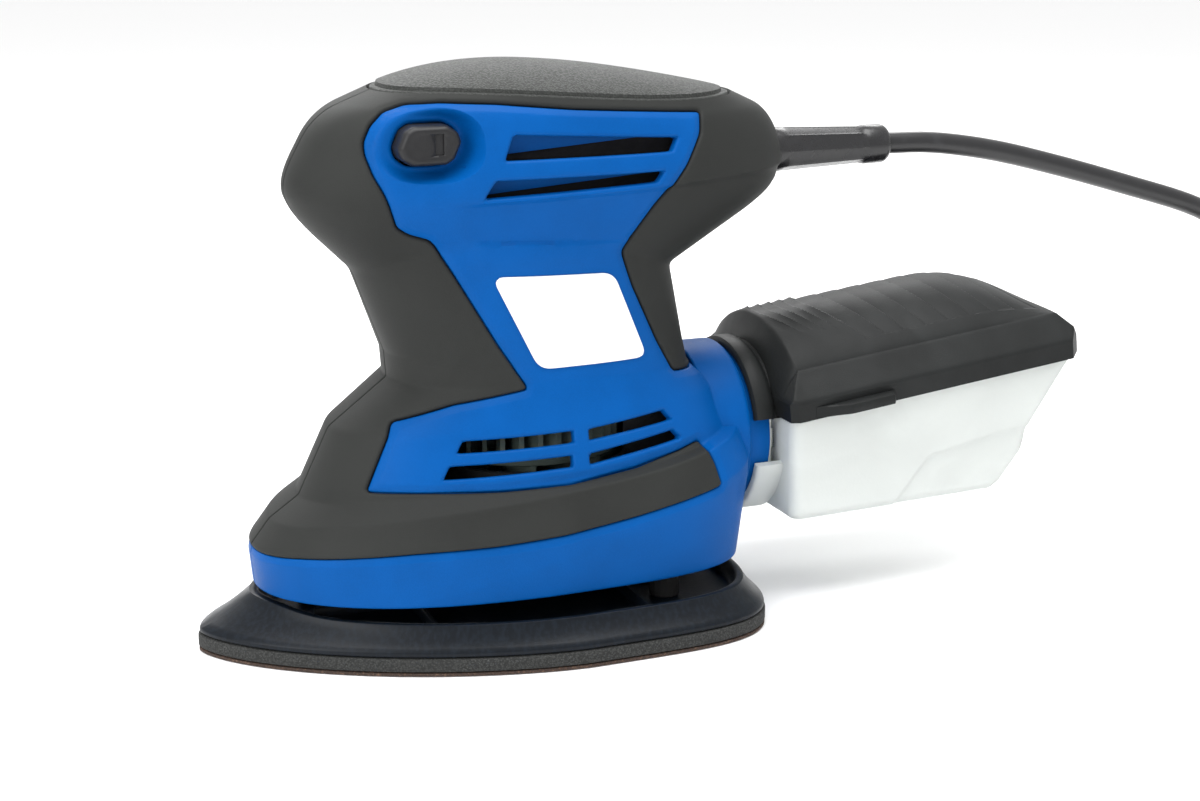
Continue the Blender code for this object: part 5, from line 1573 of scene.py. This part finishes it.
def area_light(name, place, target, size, power):
    light = bpy.data.lights.new(name, "AREA")
    light.shape = "RECTANGLE"
    light.size, light.size_y = size
    light.energy = power
    obj = bpy.data.objects.new(name, light)
    obj.location = place
    obj.rotation_euler = (Vector(target) - Vector(place)).to_track_quat("-Z", "Y").to_euler()
    bpy.context.scene.collection.objects.link(obj)
    return obj


class SANDER_OT_stage(bpy.types.Operator):
    """Set the white floor, the soft light and the camera"""

    bl_idname = "sander.stage"
    bl_label = "Stage"

    def execute(self, context):
        scene = context.scene
        setup = studio()
        mesh = bpy.data.meshes.new("studio_floor")
        corners = [(x * FLOOR_HALF, y * FLOOR_HALF, FLOOR_Z) for x, y in ((-1, -1), (1, -1), (1, 1), (-1, 1))]
        mesh.from_pydata(corners, [], [(0, 1, 2, 3)])
        white = Finish("studio_white")
        white.set(Base_Color=(0.9, 0.9, 0.9), Roughness=0.75, Specular_IOR_Level=0.2)
        mesh.materials.append(white.material)
        floor = bpy.data.objects.new("studio_floor", mesh)
        scene.collection.objects.link(floor)
        world = bpy.data.worlds.new("white_room")
        world.use_nodes = True
        background = world.node_tree.nodes["Background"]
        background.inputs["Color"].default_value = (1, 1, 1, 1)
        background.inputs["Strength"].default_value = setup.world_light
        scene.world = world
        scene.view_settings.view_transform = "Standard"
        target = (0.03, 0, 0.07)
        area_light("overhead_softbox", (0.0, -0.1, 0.9), target, (0.9, 0.7), setup.key_light)
        area_light("left_softbox", (-0.9, -0.5, 0.55), target, (0.6, 0.8), setup.key_light * 0.6)
        area_light("rear_strip", (0.2, 0.9, 0.7), target, (1.2, 0.3), setup.key_light * 0.6)
        camera = bpy.data.objects.new("camera", bpy.data.cameras.new("camera"))
        camera.data.lens = setup.lens
        camera.data.sensor_width = 36
        level = math.cos(setup.elevation)
        back = Vector((
            math.sin(setup.azimuth) * level, -math.cos(setup.azimuth) * level, math.sin(setup.elevation),
        ))
        camera.location = Vector(setup.target) + back * setup.distance
        camera.rotation_euler = back.to_track_quat("Z", "Y").to_euler()
        camera.data.clip_start = 0.01
        scene.collection.objects.link(camera)
        scene.camera = camera
        return {"FINISHED"}


# ---------------------------------------------------------------- panel and registration

OPERATORS = (
    SANDER_OT_stage, SANDER_OT_cord, SANDER_OT_housing, SANDER_OT_soft_grip, SANDER_OT_labels,
    SANDER_OT_palm_cap, SANDER_OT_switch, SANDER_OT_pad, SANDER_OT_outlet, SANDER_OT_dust_box, SANDER_OT_lid,
    SANDER_OT_fan, SANDER_OT_guard, SANDER_OT_inside,
)


class SANDER_PT_sidebar(bpy.types.Panel):
    """Lists the sander's sizes, colours and building steps"""

    bl_idname = "SANDER_PT_sidebar"
    bl_label = "Palm Sander"
    bl_space_type = "VIEW_3D"
    bl_region_type = "UI"
    bl_category = "Sander"

    def draw(self, context):
        for group in (sizes(), colours(), studio()):
            box = self.layout.box()
            for name in group.bl_rna.properties.keys():
                if name not in ("rna_type", "name"):
                    box.prop(group, name)
        for operator in OPERATORS:
            self.layout.operator(operator.bl_idname)


CLASSES = (SanderSizes, SanderColours, SanderStudio, *OPERATORS, SANDER_PT_sidebar)


def register():
    for cls in CLASSES:
        bpy.utils.register_class(cls)
    bpy.types.Scene.sander_sizes = PointerProperty(type=SanderSizes)
    bpy.types.Scene.sander_colours = PointerProperty(type=SanderColours)
    bpy.types.Scene.sander_studio = PointerProperty(type=SanderStudio)


def unregister():
    for name in ("sander_sizes", "sander_colours", "sander_studio"):
        delattr(bpy.types.Scene, name)
    for cls in reversed(CLASSES):
        bpy.utils.unregister_class(cls)


def main():
    register()
    for operator in OPERATORS:
        group, name = operator.bl_idname.split(".")
        getattr(getattr(bpy.ops, group), name)()


if __name__ == "__main__":
    main()
